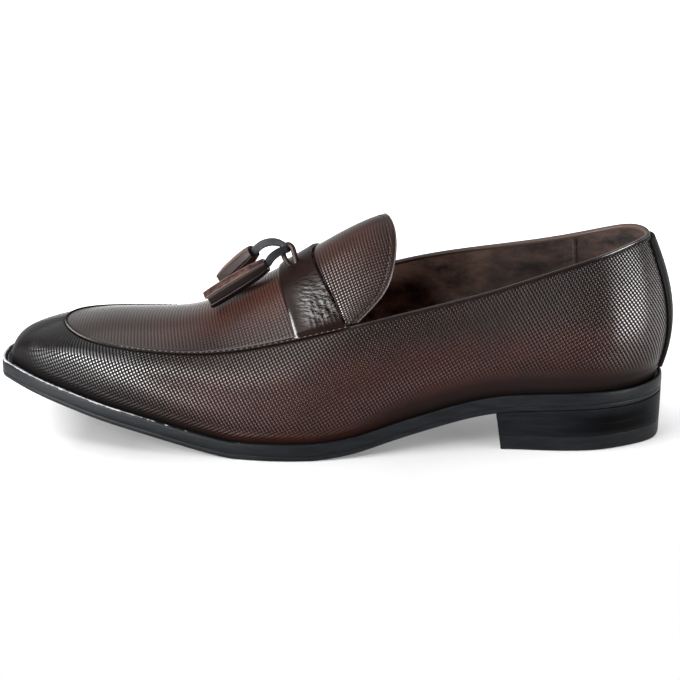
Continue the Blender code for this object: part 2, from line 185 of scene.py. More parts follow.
# Folds of the strap: place and slant, its two ends across the strap, and its width and height
STRAP_FOLDS = table(
    "share slant start end width height",
    (0.36, 0.35, -0.97, -0.85, 0.030, 0.14),
    (0.47, 0.20, -0.99, -0.79, 0.026, 0.18),
    (0.56, 0.45, -0.96, -0.83, 0.022, 0.13),
    (0.63, 0.15, -0.99, -0.75, 0.028, 0.20),
    (0.71, 0.40, -0.97, -0.84, 0.020, 0.15),
    (0.78, 0.10, -0.98, -0.74, 0.026, 0.18),
    (0.87, 0.25, -0.97, -0.80, 0.024, 0.15),
    (0.45, -0.20, 0.78, 0.98, 0.028, 0.18),
    (0.60, -0.30, 0.80, 0.98, 0.024, 0.15),
    (0.74, -0.15, 0.76, 0.98, 0.028, 0.18),
)

# Free edge of the tongue from lateral to medial: share of the half width, and how far back it lies
TONGUE = table(
    "across along",
    (-1.0, 168.5),
    (-0.88, 180.0),
    (-0.72, 185.4),
    (-0.5, 186.6),
    (-0.25, 185.2),
    (0.0, 182.5),
    (0.25, 180.0),
    (0.5, 178.5),
    (0.72, 177.0),
    (0.88, 173.5),
    (1.0, 166.0),
)

# Half width of the backstay as a turn around the upper, at its foot and at its top
BACKSTAY_FOOT_TURN = math.radians(6.6)
BACKSTAY_TOP_TURN = math.radians(8.7)
BACKSTAY_FROM, BACKSTAY_TO = 0.045, 0.965

# Ends of the tassels' axes and their sections: share of the length, width and depth
TASSEL_ENDS = {
    "tassel_lateral": ((127.4, -8.0, 79.8), (100.8, -8.0, 62.4)),
    "tassel_medial": ((120.3, 6.0, 81.5), (105.4, 16.9, 64.6)),
}
TASSEL = table(
    "share width depth",
    (0.0, 6.4, 6.0),
    (0.1, 7.4, 6.8),
    (0.5, 9.0, 7.8),
    (0.9, 9.0, 7.8),
    (1.0, 8.6, 7.4),
)
STRIP_THICK = 1.3 * MM

# Route of the tassels' thong through its keeper, its ends inside the tassels, and the keeper's route
CORD_ROUTE = (
    (120.7, 5.7, 81.9), (122.4, 5.0, 83.8), (125.0, 4.4, 85.8), (128.6, 4.1, 86.9),
    (132.4, 3.7, 86.6), (135.4, 2.6, 85.5), (136.9, 0.6, 84.9), (136.5, -1.5, 84.9),
    (134.3, -3.5, 85.2), (131.6, -5.6, 84.1), (129.4, -7.0, 82.4), (128.1, -7.8, 80.4),
)
CORD_ENDS = ((119.9, 6.3, 81.0), (127.0, -7.9, 79.5))
CORD_WIDTH = 3.8 * MM
CORD_THICK = 1.2 * MM
KEEPER_ROUTE = (
    (138.2, -4.4, 78.4), (136.2, -3.8, 80.5), (134.9, -2.6, 82.7), (134.9, -1.0, 85.3), (136.5, 0.0, 87.0),
    (138.6, -0.6, 86.1), (139.7, -2.2, 83.8), (140.5, -4.0, 81.4), (141.2, -5.4, 79.2),
)
KEEPER_WIDTH = 2.7 * MM
KEEPER_THICK = 2.4 * MM

# Embossed grid of the leather: distance between its columns and rows, and their lean on the side
COLUMN_PITCH = 1.51 * MM
ROW_PITCH = 1.48 * MM
SIDE_LEAN = math.tan(math.radians(30))
TOE_BEND = 14 * MM

# Along the side: how deep the grid's rows are pressed, how polished its studs are, and how strong the painted
# highlight on the welt's rim is
ROW_DEPTH = (
    (0, 0.1), (15, 0.6), (35, 0.9), (60, 0.9), (100, 0.76), (150, 0.68), (230, 0.64), (275, 0.74), (310, 0.5),
)
POLISH = (
    (0, 0.45), (20, 0.75), (40, 1.0), (75, 1.0), (105, 0.6), (150, 0.42), (200, 0.5), (270, 0.8), (290, 0.9),
)
RIM_GLINT_PAINT = ((0, 0.7), (60, 0.7), (85, 0.35), (130, 0.18), (310, 0.18))

# Ridge along the apron seam
SEAM_RADIUS = 0.42 * MM
SEAM_OUT = 0.16 * MM
SEAM_UP = 0.14 * MM
INNER_SEAM_UP = 0.4 * MM

# Rows of stitches: pitch, bare length at the row's ends, and a stitch's length and thickness
StitchRow = namedtuple("StitchRow", "pitch bare length thick")
STITCHES = {
    "apron_stitches": StitchRow(2.7, 1.0, 1.3, 0.42),
    "lining_stitches": StitchRow(2.4, 1.0, 1.5, 0.45),
    "tongue_stitches": StitchRow(2.5, 3.0, 1.7, 0.5),
    "welt_stitches": StitchRow(3.3, 0.0, 2.2, 0.6),
}

# Brown patches in the burnished side wall: place, how far they reach, and how strong they are
SIDE_TONE = table(
    "along rise long high amount",
    (118, 0.30, 48, 0.42, 0.95),
    (170, 0.38, 45, 0.34, 0.70),
    (222, 0.34, 40, 0.27, 0.60),
    (262, 0.40, 26, 0.20, 0.40),
    (288, 0.28, 24, 0.30, 0.40),
)


# Curves and steps

def column(rows, name):
    """One named column of a table as an array."""
    return np.array([getattr(row, name) for row in rows], float)


def smooth_curve(knots, values, at, period=None):
    """Cubic curve of even curvature through the values; closed on itself when a period is given."""
    knots = np.asarray(knots, float)
    values = np.asarray(values, float)
    if period:
        knots = np.concatenate((knots - period, knots, knots + period))
        values = np.tile(values, 3)
    step = np.diff(knots)
    slope = np.diff(values) / step
    system = np.eye(len(knots))
    change = np.zeros(len(knots))
    for i in range(1, len(knots) - 1):
        system[i, i - 1:i + 2] = step[i - 1], 2 * (step[i - 1] + step[i]), step[i]
        change[i] = 6 * (slope[i] - slope[i - 1])
    bend = np.linalg.solve(system, change)
    i = np.clip(np.searchsorted(knots, at) - 1, 0, len(knots) - 2)
    before = (knots[i + 1] - at) / step[i]
    after = 1 - before
    curving = (before**3 - before) * bend[i] + (after**3 - after) * bend[i + 1]
    return before * values[i] + after * values[i + 1] + curving * step[i]**2 / 6


def fade(low, high, value):
    """Soft step from 0 at low to 1 at high."""
    share = np.clip((value - low) / (high - low), 0, 1)
    return share * share * (3 - 2 * share)


def bump_at(value, centre, width):
    """Soft ridge of height 1."""
    return np.exp(-((value - centre) / width)**2)


def steps_at(rows, along):
    """Value at a distance from the toe, on straight lines through rows of millimetres and value."""
    return np.interp(along / MM, *zip(*rows))


def unit(vectors):
    """Vectors of length 1."""
    return vectors / np.maximum(np.linalg.norm(vectors, axis=-1, keepdims=True), 1e-12)


def lengths(points, axis):
    """Distance run along one axis of a grid of points."""
    step = np.linalg.norm(np.diff(points, axis=axis), axis=-1)
    start = np.zeros_like(np.take(step, [0], axis=axis))
    return np.concatenate((start, np.cumsum(step, axis=axis)), axis=axis)


# Surfaces shared with the frame

def along_at(rows, turn):
    """Distance from the toe at a turn around the shoe: 0 at the heel's back, half a turn at the toe."""
    toe, heel = rows[0].along, rows[-1].along
    return ((heel + toe) / 2 + (heel - toe) / 2 * np.cos(turn)) * MM


def turn_at(rows, along):
    """Turn on the lateral side at a distance from the toe."""
    toe, heel = rows[0].along, rows[-1].along
    return np.arccos(np.clip((along / MM - (heel + toe) / 2) / ((heel - toe) / 2), -1, 1))


def around(rows, lateral, medial, turn):
    """Table value on a closed line around the shoe, lateral side first."""
    place = turn_at(rows, column(rows, "along") * MM)
    knots = np.concatenate((place[::-1], TURN - place[1:-1]))
    values = np.concatenate((column(rows, lateral)[::-1], column(rows, medial)[1:-1]))
    return smooth_curve(knots, values, np.mod(turn, TURN), TURN) * MM


def outline_normal(turn):
    """Level direction pointing out of the sole's outline."""
    nudge = 0.002
    ahead = along_at(SOLE, turn + nudge) - along_at(SOLE, turn - nudge)
    aside = around(SOLE, "lateral", "medial", turn + nudge) - around(SOLE, "lateral", "medial", turn - nudge)
    return unit(np.stack((-aside, ahead), -1))


def sole_outline(turn, inset):
    """Points of the sole's plan outline, moved in by an inset."""
    plan = np.stack((along_at(SOLE, turn), around(SOLE, "lateral", "medial", turn)), -1)
    return plan - outline_normal(turn) * np.asarray(inset)[..., None]


def tread(along):
    """Height of the tread, flat on the ground under the ball of the foot."""
    return np.maximum(0, smooth_curve(column(SOLE, "along") * MM, column(SOLE, "tread") * MM, along))


def upper_inset(turn):
    """How far the upper stands in from the sole's edge."""
    return around(SOLE, "inset", "inset", turn)


def foot_line(turn):
    """Lower edge of the upper, standing on the welt."""
    plan = sole_outline(turn, upper_inset(turn))
    return np.concatenate((plan, (tread(plan[..., 0]) + SOLE_THICK + SEAT_GAP)[..., None]), -1)


def top_line(turn):
    """Apron seam and topline."""
    across = around(TOP, "lateral", "medial", turn)
    height = around(TOP, "lateral_height", "medial_height", turn)
    return np.stack((along_at(TOP, turn), across, height), -1)


def wall_value(name, turn):
    """Column of the wall table, the same on both sides of the shoe."""
    place = np.radians(column(WALL, "degrees"))
    value = column(WALL, name)
    knots = np.concatenate((place, TURN - place[-2:0:-1]))
    return smooth_curve(knots, np.concatenate((value, value[-2:0:-1])), np.mod(turn, TURN), TURN)


def wall(rise, turn):
    """Side of the upper: rise 0 at the welt and 1 at the seam or topline."""
    foot, top = foot_line(turn), top_line(turn)
    out = outline_normal(turn)
    chord = np.linalg.norm(top - foot, axis=-1)

    def handle(end, upright):
        lean = np.radians(wall_value(end + "_lean", turn))
        level = out * np.sin(lean)[..., None]
        arm = np.concatenate((level, (upright * np.cos(lean))[..., None]), -1)
        return arm * (wall_value(end + "_reach", turn) * chord)[..., None]

    rise = np.asarray(rise)[..., None]
    fall = 1 - rise
    low = foot + handle("foot", 1)
    high = top + handle("top", -1)
    return fall**3 * foot + 3 * rise * fall**2 * low + 3 * rise**2 * fall * high + rise**3 * top


def instep(along, across):
    """Arch over the foot between the two seams: across runs from -1 lateral to 1 medial."""
    turn = turn_at(TOP, along)
    lateral, medial = top_line(turn), top_line(-turn)
    share = ((1 + across) / 2)[..., None]
    chord = lateral + (medial - lateral) * share
    ridge = smooth_curve(column(RIDGE, "along") * MM, column(RIDGE, "height") * MM, along)
    crown = ridge - (lateral[..., 2] + medial[..., 2]) / 2
    chord[..., 2] += crown * (1 - np.abs(across)**ARCH_POWER)
    return chord


def normals(surface, first, second):
    """Unit normals of a surface; its two inputs turn right-handed about them."""
    nudge = 0.0005
    one = surface(first + nudge, second) - surface(first - nudge, second)
    two = surface(first, second + nudge) - surface(first, second - nudge)
    return unit(np.cross(one, two))


def bowed(at_seam, bow):
    """Edge over the foot that bows forward in the middle."""
    return lambda across: at_seam - bow * (1 - across**2)


def tongue_edge(across):
    """Free edge of the tongue."""
    return smooth_curve(column(TONGUE, "across"), column(TONGUE, "along"), across) * MM


# Building meshes

def in_frame(points):
    """Points with x measured from the middle of the shoe instead of from the toe."""
    return np.asarray(points).reshape(-1, 3) - (SHOE_LENGTH / 2, 0, 0)


def add_piece(name, points, faces, finishes, finish_of_face=None, values=None, sharp=48):
    """Smooth mesh piece from points measured from the toe, with named values on its points."""
    mesh = bpy.data.meshes.new(name)
    mesh.from_pydata(in_frame(points).tolist(), [], faces)
    for finish in finishes:
        mesh.materials.append(finish)
    if finish_of_face is not None:
        mesh.polygons.foreach_set("material_index", finish_of_face)
    for key, value in (values or {}).items():
        layer = mesh.attributes.new(key, "FLOAT", "POINT")
        layer.data.foreach_set("value", np.asarray(value, np.float32).ravel())
    work = bmesh.new()
    work.from_mesh(mesh)
    bmesh.ops.recalc_face_normals(work, faces=work.faces)
    work.to_mesh(mesh)
    work.free()
    mesh.shade_smooth()
    mesh.set_sharp_from_angle(angle=math.radians(sharp))
    piece = bpy.data.objects.new(name, mesh)
    bpy.context.scene.collection.objects.link(piece)
    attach(piece, "root")
    return piece


def grid_faces(rows, columns, closed=False):
    """Quads of a grid of points stored row by row; closed joins the last column to the first."""
    across = np.arange(columns if closed else columns - 1)
    row, place = np.meshgrid(np.arange(rows - 1), across, indexing="ij")
    beside = (place + 1) % columns
    here, above = row * columns, (row + 1) * columns
    return np.stack((here + place, here + beside, above + beside, above + place), -1).reshape(-1, 4)


def shell(name, outer, inner, finishes, closed=False, values=None):
    """Closed sheet between two grids; the second finish is for its inner face."""
    rows, columns = outer.shape[:2]
    count = rows * columns
    skin = grid_faces(rows, columns, closed)
    index = np.arange(count).reshape(rows, columns)
    edges = [index[0], index[-1]]
    if closed:
        edges = [np.append(edge, edge[0]) for edge in edges]
    else:
        edges += [index[:, 0], index[:, -1]]
    rim = [np.stack((e[:-1], e[1:], e[1:] + count, e[:-1] + count), -1) for e in edges]
    faces = np.concatenate((skin, *rim, skin[:, ::-1] + count))
    inside = np.arange(len(faces)) >= len(faces) - len(skin)
    finish_of_face = inside.astype(np.int32) * (len(finishes) - 1)
    points = np.concatenate((outer.reshape(-1, 3), inner.reshape(-1, 3)))
    doubled = {key: np.tile(np.ravel(value), 2) for key, value in (values or {}).items()}
    return add_piece(name, points, faces.tolist(), finishes, finish_of_face, doubled)


def smooth_path(route, steps):
    """Points on a smooth curve through a route in millimetres."""
    fine = np.linspace(0, len(route) - 1, steps)
    knots = np.arange(len(route))
    return np.stack([smooth_curve(knots, axis, fine) for axis in np.transpose(route)], -1) * MM


def swept_rings(path, up, section):
    """Rings of a section (side, up) carried along a path, facing up."""
    ahead = unit(np.gradient(path, axis=0))
    side = unit(np.cross(ahead, up))
    lift = np.cross(side, ahead)
    section = np.broadcast_to(section, (len(path), *np.shape(section)[-2:]))
    return path[:, None] + section[..., :1] * side[:, None] + section[..., 1:] * lift[:, None]


def tube_faces(rings, around_count, first=0):
    """Sides and end caps of a tube stored ring by ring."""
    sides = (grid_faces(rings, around_count, closed=True) + first).tolist()
    last = first + (rings - 1) * around_count
    return sides + [list(range(first, first + around_count))[::-1], list(range(last, last + around_count))]


def swept(name, path, up, section, finish, values=None):
    """Tube of a fixed section along a path."""
    rings = swept_rings(path, up, section)
    return add_piece(name, rings, tube_faces(*rings.shape[:2]), [finish], values=values)


def rounded_box(width, thick, steps=4, squareness=0.5):
    """Section of a flat strip with rounded edges."""
    angle = np.arange(4 * steps) * TURN / (4 * steps) + TURN / (8 * steps)
    side = np.sign(np.cos(angle)) * np.abs(np.cos(angle))**squareness * width / 2
    lift = np.sign(np.sin(angle)) * np.abs(np.sin(angle))**squareness * thick / 2
    return np.stack((side, lift), -1)


def stitches(name, path, up, finish):
    """Row of thread stitches along a fine path, joined in one mesh."""
    pitch, bare, length, thick = (size * MM for size in STITCHES[name])
    run = lengths(path, 0)
    picked = np.searchsorted(run, np.arange(bare, run[-1] - bare, pitch))
    ahead = np.gradient(path, axis=0)
    share = np.array((-1, -0.8, 0, 0.8, 1))
    girth = np.array((0.45, 0.85, 1, 0.85, 0.45))
    section = rounded_box(thick, thick, 2, 1.0) * girth[:, None, None]
    points, faces = [], []
    for place, forward, lift in zip(path[picked], unit(ahead[picked]), unit(up[picked])):
        line = place + share[:, None] * forward * length / 2 - (share**2)[:, None] * lift * thick * 0.35
        rings = swept_rings(line, np.broadcast_to(lift, line.shape), section)
        faces += tube_faces(*rings.shape[:2], first=sum(map(len, points)))
        points.append(rings.reshape(-1, 3))
    return add_piece(name, np.concatenate(points), faces, [finish])


# Shader nodes

def new_finish(name, roughness, specular=0.5):
    """Principled material, its node tree and its shader's inputs."""
    finish = bpy.data.materials.new(name)
    finish.use_nodes = True
    inputs = finish.node_tree.nodes["Principled BSDF"].inputs
    inputs["Roughness"].default_value = roughness
    inputs["Specular IOR Level"].default_value = specular
    return finish, finish.node_tree, inputs


def put(socket, source):
    """Links an input to a node's output, or sets it to a number, a vector or a colour."""
    if isinstance(source, bpy.types.NodeSocket):
        socket.id_data.links.new(source, socket)
    elif socket.type == "RGBA":
        socket.default_value = (*source, 1)
    else:
        socket.default_value = source


def attribute(tree, name):
    """Value stored on the points of a piece."""
    node = tree.nodes.new("ShaderNodeAttribute")
    node.attribute_name = name
    return node.outputs["Fac"]


def place_of(tree, space="Object"):
    """X, Y and Z of the shaded point."""
    parts = tree.nodes.new("ShaderNodeSeparateXYZ")
    put(parts.inputs[0], tree.nodes.new("ShaderNodeTexCoord").outputs[space])
    return parts.outputs


def noise(tree, scale, detail=3.0, stretch=(1, 1, 1), roughness=0.55):
    """Noise in the object's own space, with scale in features per metre."""
    mapping = tree.nodes.new("ShaderNodeMapping")
    put(mapping.inputs["Vector"], tree.nodes.new("ShaderNodeTexCoord").outputs["Object"])
    put(mapping.inputs["Scale"], stretch)
    node = tree.nodes.new("ShaderNodeTexNoise")
    put(node.inputs["Vector"], mapping.outputs["Vector"])
    for name, number in (("Scale", scale), ("Detail", detail), ("Roughness", roughness)):
        put(node.inputs[name], number)
    return node.outputs["Fac"]


def arithmetic(operation, first, *others):
    """Math nodes one after another, over a node's output and further outputs or numbers."""
    for other in others or (0.0,):
        node = first.id_data.nodes.new("ShaderNodeMath")
        node.operation = operation
        put(node.inputs[0], first)
        put(node.inputs[1], other)
        first = node.outputs[0]
    return first


def remap(value, low, high, to_low=0.0, to_high=1.0):
    """Value moved from one range to another, and held there."""
    node = value.id_data.nodes.new("ShaderNodeMapRange")
    numbers = {"Value": value, "From Min": low, "From Max": high, "To Min": to_low, "To Max": to_high}
    for name, source in numbers.items():
        put(node.inputs[name], source)
    return node.outputs["Result"]


def inverse(share):
    """One minus a share."""
    return remap(share, 0.0, 1.0, 1.0, 0.0)


def blend(share, first, second):
    """Colour between two colours."""
    node = share.id_data.nodes.new("ShaderNodeMix")
    node.data_type = "RGBA"
    for place, source in ((0, share), (6, first), (7, second)):
        put(node.inputs[place], source)
    return node.outputs[2]


def scaled(colour, amount):
    """Colour made darker or lighter."""
    node = colour.id_data.nodes.new("ShaderNodeVectorMath")
    node.operation = "SCALE"
    put(node.inputs[0], colour)
    put(node.inputs["Scale"], amount)
    return node.outputs[0]


def bump(inputs, height, distance):
    """Fine relief on a shader's normal."""
    node = height.id_data.nodes.new("ShaderNodeBump")
    for name, source in (("Strength", 1.0), ("Distance", distance), ("Height", height)):
        put(node.inputs[name], source)
    put(inputs["Normal"], node.outputs["Normal"])


# Materials

def embossed_leather(name, dark, brown, relief_height, flat_gloss, roughness):
    """Burnished leather with a fine grid of raised studs, polished on their crowns, its colour darkened
    between them as painted shade.
    """
    finish, tree, inputs = new_finish(name, roughness)
    column_depth, row_depth = attribute(tree, "column_depth"), attribute(tree, "row_depth")
    ribs = []
    for place, amount in (("stud_column", column_depth), ("stud_row", row_depth)):
        trough = remap(arithmetic("COSINE", attribute(tree, place)), -1.0, 1.0, 1.0, 0.0)
        ribs.append(inverse(arithmetic("MULTIPLY", trough, amount)))
    stud = remap(arithmetic("MULTIPLY", *ribs), 0.06, 0.55)
    depth = attribute(tree, "emboss")
    relief = arithmetic("MULTIPLY", stud, depth)
    raised = arithmetic("MULTIPLY", depth, arithmetic("MAXIMUM", column_depth, row_depth))
    flat = inverse(raised)
    cloud = remap(noise(tree, 60, 4), 0.3, 0.7, 0.7, 1.3)
    leather = blend(arithmetic("MULTIPLY", attribute(tree, "tone"), cloud), dark, brown)
    # Painted shade: the colour falls to 0.38 in the grooves between the studs, and to about 0.83 on
    # unembossed leather.
    top = arithmetic("MAXIMUM", relief, arithmetic("MULTIPLY", flat, 0.4))
    put(inputs["Base Color"], scaled(leather, remap(top, 0.0, 0.55, 0.38, 1.0)))
    crown = arithmetic("MULTIPLY", remap(stud, 0.3, 0.95), raised)
    gloss = arithmetic("MAXIMUM", crown, arithmetic("MULTIPLY", flat, flat_gloss))
    gloss = arithmetic("MULTIPLY", gloss, attribute(tree, "polish"))
    put(inputs["Specular IOR Level"], remap(gloss, 0.0, 1.0, 0.04, 1.0))
    put(inputs["Roughness"], remap(gloss, 0.0, 0.06, 0.5, roughness))
    grain = arithmetic("MULTIPLY", noise(tree, 2500, 3), 0.025)
    bump(inputs, arithmetic("ADD", relief, grain), relief_height)
    return finish


def smooth_leather(name, dark, light, roughness, cloud=90, grain=0.1, specular=0.7):
    """Polished leather with cloudy colour and fine creases."""
    finish, tree, inputs = new_finish(name, roughness, specular)
    put(inputs["Base Color"], blend(remap(noise(tree, cloud, 5), 0.35, 0.68), dark, light))
    bump(inputs, noise(tree, 1300, 4), grain * MM)
    return finish


def lining_finish(name, dark, light):
    """Soft lining leather with worn blotches, painted lighter towards the toe and darker at the heel to even
    out the shade inside the shoe.
    """
    finish, tree, inputs = new_finish(name, 0.6, 0.4)
    blotch = remap(noise(tree, 55, 6, (1, 1, 1.8), 0.68), 0.36, 0.64)
    # Painted light: the colour is scaled from 6.5 times in the front half of the shoe to 0.58 times near the
    # heel.
    painted_light_by_place = remap(place_of(tree)["X"], 0.0, 0.075, 6.5, 0.58)
    put(inputs["Base Color"], scaled(blend(blotch, dark, light), painted_light_by_place))
    bump(inputs, noise(tree, 900, 5), 0.3 * MM)
    return finish


def crinkled_leather(name, dark, light):
    """Strap leather: glossy, with fine wrinkles where it bends down to the seam, and a painted shadow along
    its back edge.
    """
    finish, tree, inputs = new_finish(name, 0.18, 0.4)
    face = blend(remap(noise(tree, 110, 4), 0.35, 0.7), dark, light)
    # Painted shadow: the face goes black along the strap's back edge, where it stands over the tongue.
    painted_shadow_black = (0.002, 0.002, 0.002)
    put(inputs["Base Color"], blend(attribute(tree, "strap_back_painted_shadow"), face, painted_shadow_black))
    crinkle = attribute(tree, "crinkle")
    edge_gloss = arithmetic("MULTIPLY", attribute(tree, "edge_gloss"), 0.6)
    gloss = arithmetic("MAXIMUM", remap(crinkle, 0.1, 1.0, 0.07, 0.27), edge_gloss)
    put(inputs["Specular IOR Level"], gloss)
    put(inputs["Roughness"], remap(gloss, 0.07, 0.14, 0.3, 0.18))
    wrinkles = arithmetic("MULTIPLY", noise(tree, 430, 2, (0.4, 1, 1.5)), crinkle)
    pores = arithmetic("MULTIPLY", noise(tree, 2200, 2), 0.05)
    bump(inputs, arithmetic("ADD", wrinkles, pores), 1.0 * MM)
    return finish


def binding_leather(name, dark, light, inner):
    """Collar binding: dark outside, brown over its edge and inside, polished at the heel."""
    finish, tree, inputs = new_finish(name, 0.3)
    face = blend(remap(noise(tree, 120, 5), 0.35, 0.68), dark, light)
    put(inputs["Base Color"], blend(attribute(tree, "inside"), face, inner))
    shine = attribute(tree, "shine")
    put(inputs["Specular IOR Level"], remap(shine, 0.0, 1.0, 0.3, 1.0))
    put(inputs["Roughness"], remap(shine, 0.0, 1.0, 0.36, 0.16))
    bump(inputs, noise(tree, 1300, 4), 0.08 * MM)
    return finish


def seam_leather(name, dark, pale):
    """Edge of the wall at the apron seam: black, with a patchy pale painted highlight on the lateral side
    round the toe.
    """
    finish, tree, inputs = new_finish(name, 0.5, 0.08)
    patchy = remap(noise(tree, 700, 3), 0.3, 0.6, 0.5, 1.0)
    # Painted highlight, broken into patches by noise.
    ridge_painted_highlight = arithmetic("MULTIPLY", attribute(tree, "ridge_painted_highlight"), patchy)
    put(inputs["Base Color"], blend(ridge_painted_highlight, dark, pale))
    bump(inputs, noise(tree, 1300, 4), 0.1 * MM)
    return finish


def heel_painted_shade(tree):
    """Share of a darker zone low on the heel's back, painted shade standing for a dark reflection."""
    place = place_of(tree)
    limits = (("X", 0.1, 0.125), ("X", 0.15, 0.143), ("Z", 0.0075, 0.0105), ("Z", 0.021, 0.017))
    return arithmetic("MULTIPLY", *(remap(place[axis], low, high) for axis, low, high in limits))


def rubber(name, dark, light, roughness, specular, zone=None):
    """Moulded rubber with a faint drawn grain along the shoe, pale grey flecks and a pale painted highlight
    on the welt's rim, and if wanted a zone darkened as painted shade.
    """
    finish, tree, inputs = new_finish(name, roughness, specular)
    body = blend(remap(noise(tree, 500, 4, (0.12, 0.12, 1)), 0.35, 0.7), dark, light)
    if zone:
        # Painted shade: the zone's colour goes to near black.
        painted_shade_black = (0.0006, 0.0006, 0.0008)
        body = blend(zone(tree), body, painted_shade_black)
    # Painted highlight: pale grey along the welt's rim, broken into flecks by noise, which also leaves a few
    # flecks elsewhere.
    fleck_and_glint_grey = (0.32, 0.33, 0.34)
    flecks_and_glint = arithmetic("ADD", noise(tree, 420, 3, (1, 0.4, 0.4)), attribute(tree, "rim_painted_highlight"))
    put(inputs["Base Color"], blend(remap(flecks_and_glint, 0.85, 1.05), body, fleck_and_glint_grey))
    grain = noise(tree, 1800, 3, (0.3, 0.3, 1))
    put(inputs["Roughness"], remap(grain, 0.3, 0.7, roughness - 0.06, roughness + 0.1))
    bump(inputs, grain, 0.06 * MM)
    return finish


def thread(name, colour):
    """Waxed sewing thread."""
    finish, tree, inputs = new_finish(name, 0.5, 0.3)
    dim = tuple(0.6 * c for c in colour)
    put(inputs["Base Color"], blend(remap(noise(tree, 3000, 2), 0.3, 0.7), dim, colour))
    return finish


def fringe_leather(name, dark, light, edge):
    """Cut leather strips, painted dark as shade where they face down; their raw edges are pale, partly as
    painted highlight, only on the strips facing up.
    """
    finish, tree, inputs = new_finish(name, 0.36, 0.14)
    mottle = remap(noise(tree, 420, 4), 0.38, 0.62)
    clear = remap(noise(tree, 330, 2), 0.6, 0.54)
    face = blend(arithmetic("MULTIPLY", mottle, clear), dark, light)
    # Painted light and shade: strips facing up take the face colour and pale edges, strips facing down the
    # dark colour.
    lit_strip = attribute(tree, "painted_top_light")
    raw_edge_and_highlight = arithmetic("MULTIPLY", attribute(tree, "cut_edge_and_highlight"), lit_strip)
    put(inputs["Base Color"], blend(raw_edge_and_highlight, blend(lit_strip, dark, face), edge))
    bump(inputs, noise(tree, 1500, 4), 0.15 * MM)
    return finish


def floor_finish():
    """White floor that glows with painted light away from the shoe, with a painted shadow under the toe."""
    finish, tree, inputs = new_finish("pale_floor", 0.7, 0.2)
    shade = blend(remap(noise(tree, 3, 2), 0.3, 0.7), (0.48, 0.48, 0.48), (0.51, 0.51, 0.51))
    x, y, _ = place_of(tree)
    sky = tree.nodes.new("ShaderNodeAmbientOcclusion")
    put(sky.inputs["Distance"], 0.05)
    # Painted shadow under the toe, darkened by ambient occlusion.
    under_toe = remap(x, -0.04, -0.09), remap(x, -0.146, -0.112)
    painted_toe_shadow = arithmetic("MULTIPLY", remap(sky.outputs["AO"], 0.85, 0.45), *under_toe)
    painted_shadow_grey = (0.2, 0.2, 0.2)
    put(inputs["Base Color"], blend(painted_toe_shadow, shade, painted_shadow_grey))
    # Painted light: the floor glows, more behind the shoe, to its right, at its front edge, past the toe tip
    # and just behind the heel, thinning the shoe's shadows there.
    far = remap(y, -0.05, 0.25, 0.1, 1.0)
    right = remap(x, 0.02, 0.17, 0.05, 0.45)
    front = remap(y, -0.07, FLOOR_FRONT, 0.0, 0.3)
    left = remap(x, -0.115, -0.15, 0.0, 0.3)
    behind_heel = arithmetic("MULTIPLY", remap(x, 0.145, 0.16), remap(y, -0.01, 0.04, 0.0, 0.3))
    painted_floor_light = arithmetic("ADD", arithmetic("MAXIMUM", far, right), front, left, behind_heel)
    put(inputs["Emission Color"], (1, 1, 1))
    put(inputs["Emission Strength"], painted_floor_light)
    return finish


# Camera, light and floor

def build_camera():
    """Camera at the photo's angle, with the shift that its framing needs."""
    data = bpy.data.cameras.new("camera")
    data.sensor_width = 36
    data.lens = data.sensor_width * CAMERA_DISTANCE / VIEW_WIDTH
    data.shift_x = (IMAGE_SIDE / 2 - AIM_PIXEL[0]) / IMAGE_SIDE
    data.shift_y = (AIM_PIXEL[1] - IMAGE_SIDE / 2) / IMAGE_SIDE
    camera = bpy.data.objects.new("camera", data)
    level = CAMERA_DISTANCE * math.cos(CAMERA_ELEVATION)
    camera.location = (
        CAMERA_AIM[0] + level * math.sin(CAMERA_AZIMUTH),
        CAMERA_AIM[1] - level * math.cos(CAMERA_AZIMUTH),
        CAMERA_AIM[2] + CAMERA_DISTANCE * math.sin(CAMERA_ELEVATION),
    )
    camera.rotation_euler = (math.pi / 2 - CAMERA_ELEVATION, 0, CAMERA_AZIMUTH)
    bpy.context.scene.collection.objects.link(camera)
    bpy.context.scene.camera = camera


def add_lamp(name, width, height, power, place, turn):
    """Rectangular soft light that the camera doesn't see."""
    data = bpy.data.lights.new(name, "AREA")
    data.shape = "RECTANGLE"
    data.size, data.size_y = width, height
    data.energy = power
    lamp = bpy.data.objects.new(name, data)
    lamp.visible_camera = False
    lamp.location = place
    lamp.rotation_euler = turn
    bpy.context.scene.collection.objects.link(lamp)


def build_lights():
    """Soft lights round the shoe, and the card before its toe."""
    for row in LIGHTS:
        azimuth, elevation = math.radians(row.azimuth), math.radians(row.elevation)
        level = row.distance * math.cos(elevation)
        place = (level * math.sin(azimuth), -level * math.cos(azimuth), row.distance * math.sin(elevation))
        add_lamp(row.name, row.width, row.height, row.power, place, (math.pi / 2 - elevation, 0, azimuth))
    add_lamp("floor_card", CARD_SIZE, CARD_SIZE, CARD_POWER, CARD_PLACE, (math.pi, 0, 0))


def build_room():
    """White backdrop that lights the shoe like a room darker on the camera's side and above."""
    world = bpy.data.worlds.new("studio")
    world.use_nodes = True
    tree = world.node_tree
    _, y, z = place_of(tree, "Generated")
    room = arithmetic("MULTIPLY", remap(y, 0.0, 0.9, 0.02, 0.85), remap(z, 0.3, 0.9, 1.0, 0.3))
    paths = tree.nodes.new("ShaderNodeLightPath")
    inputs = tree.nodes["Background"].inputs
    put(inputs["Color"], (1, 1, 1))
    put(inputs["Strength"], arithmetic("MAXIMUM", room, paths.outputs["Is Camera Ray"]))
    scene = bpy.context.scene
    scene.world = world
    scene.view_settings.view_transform = "Standard"


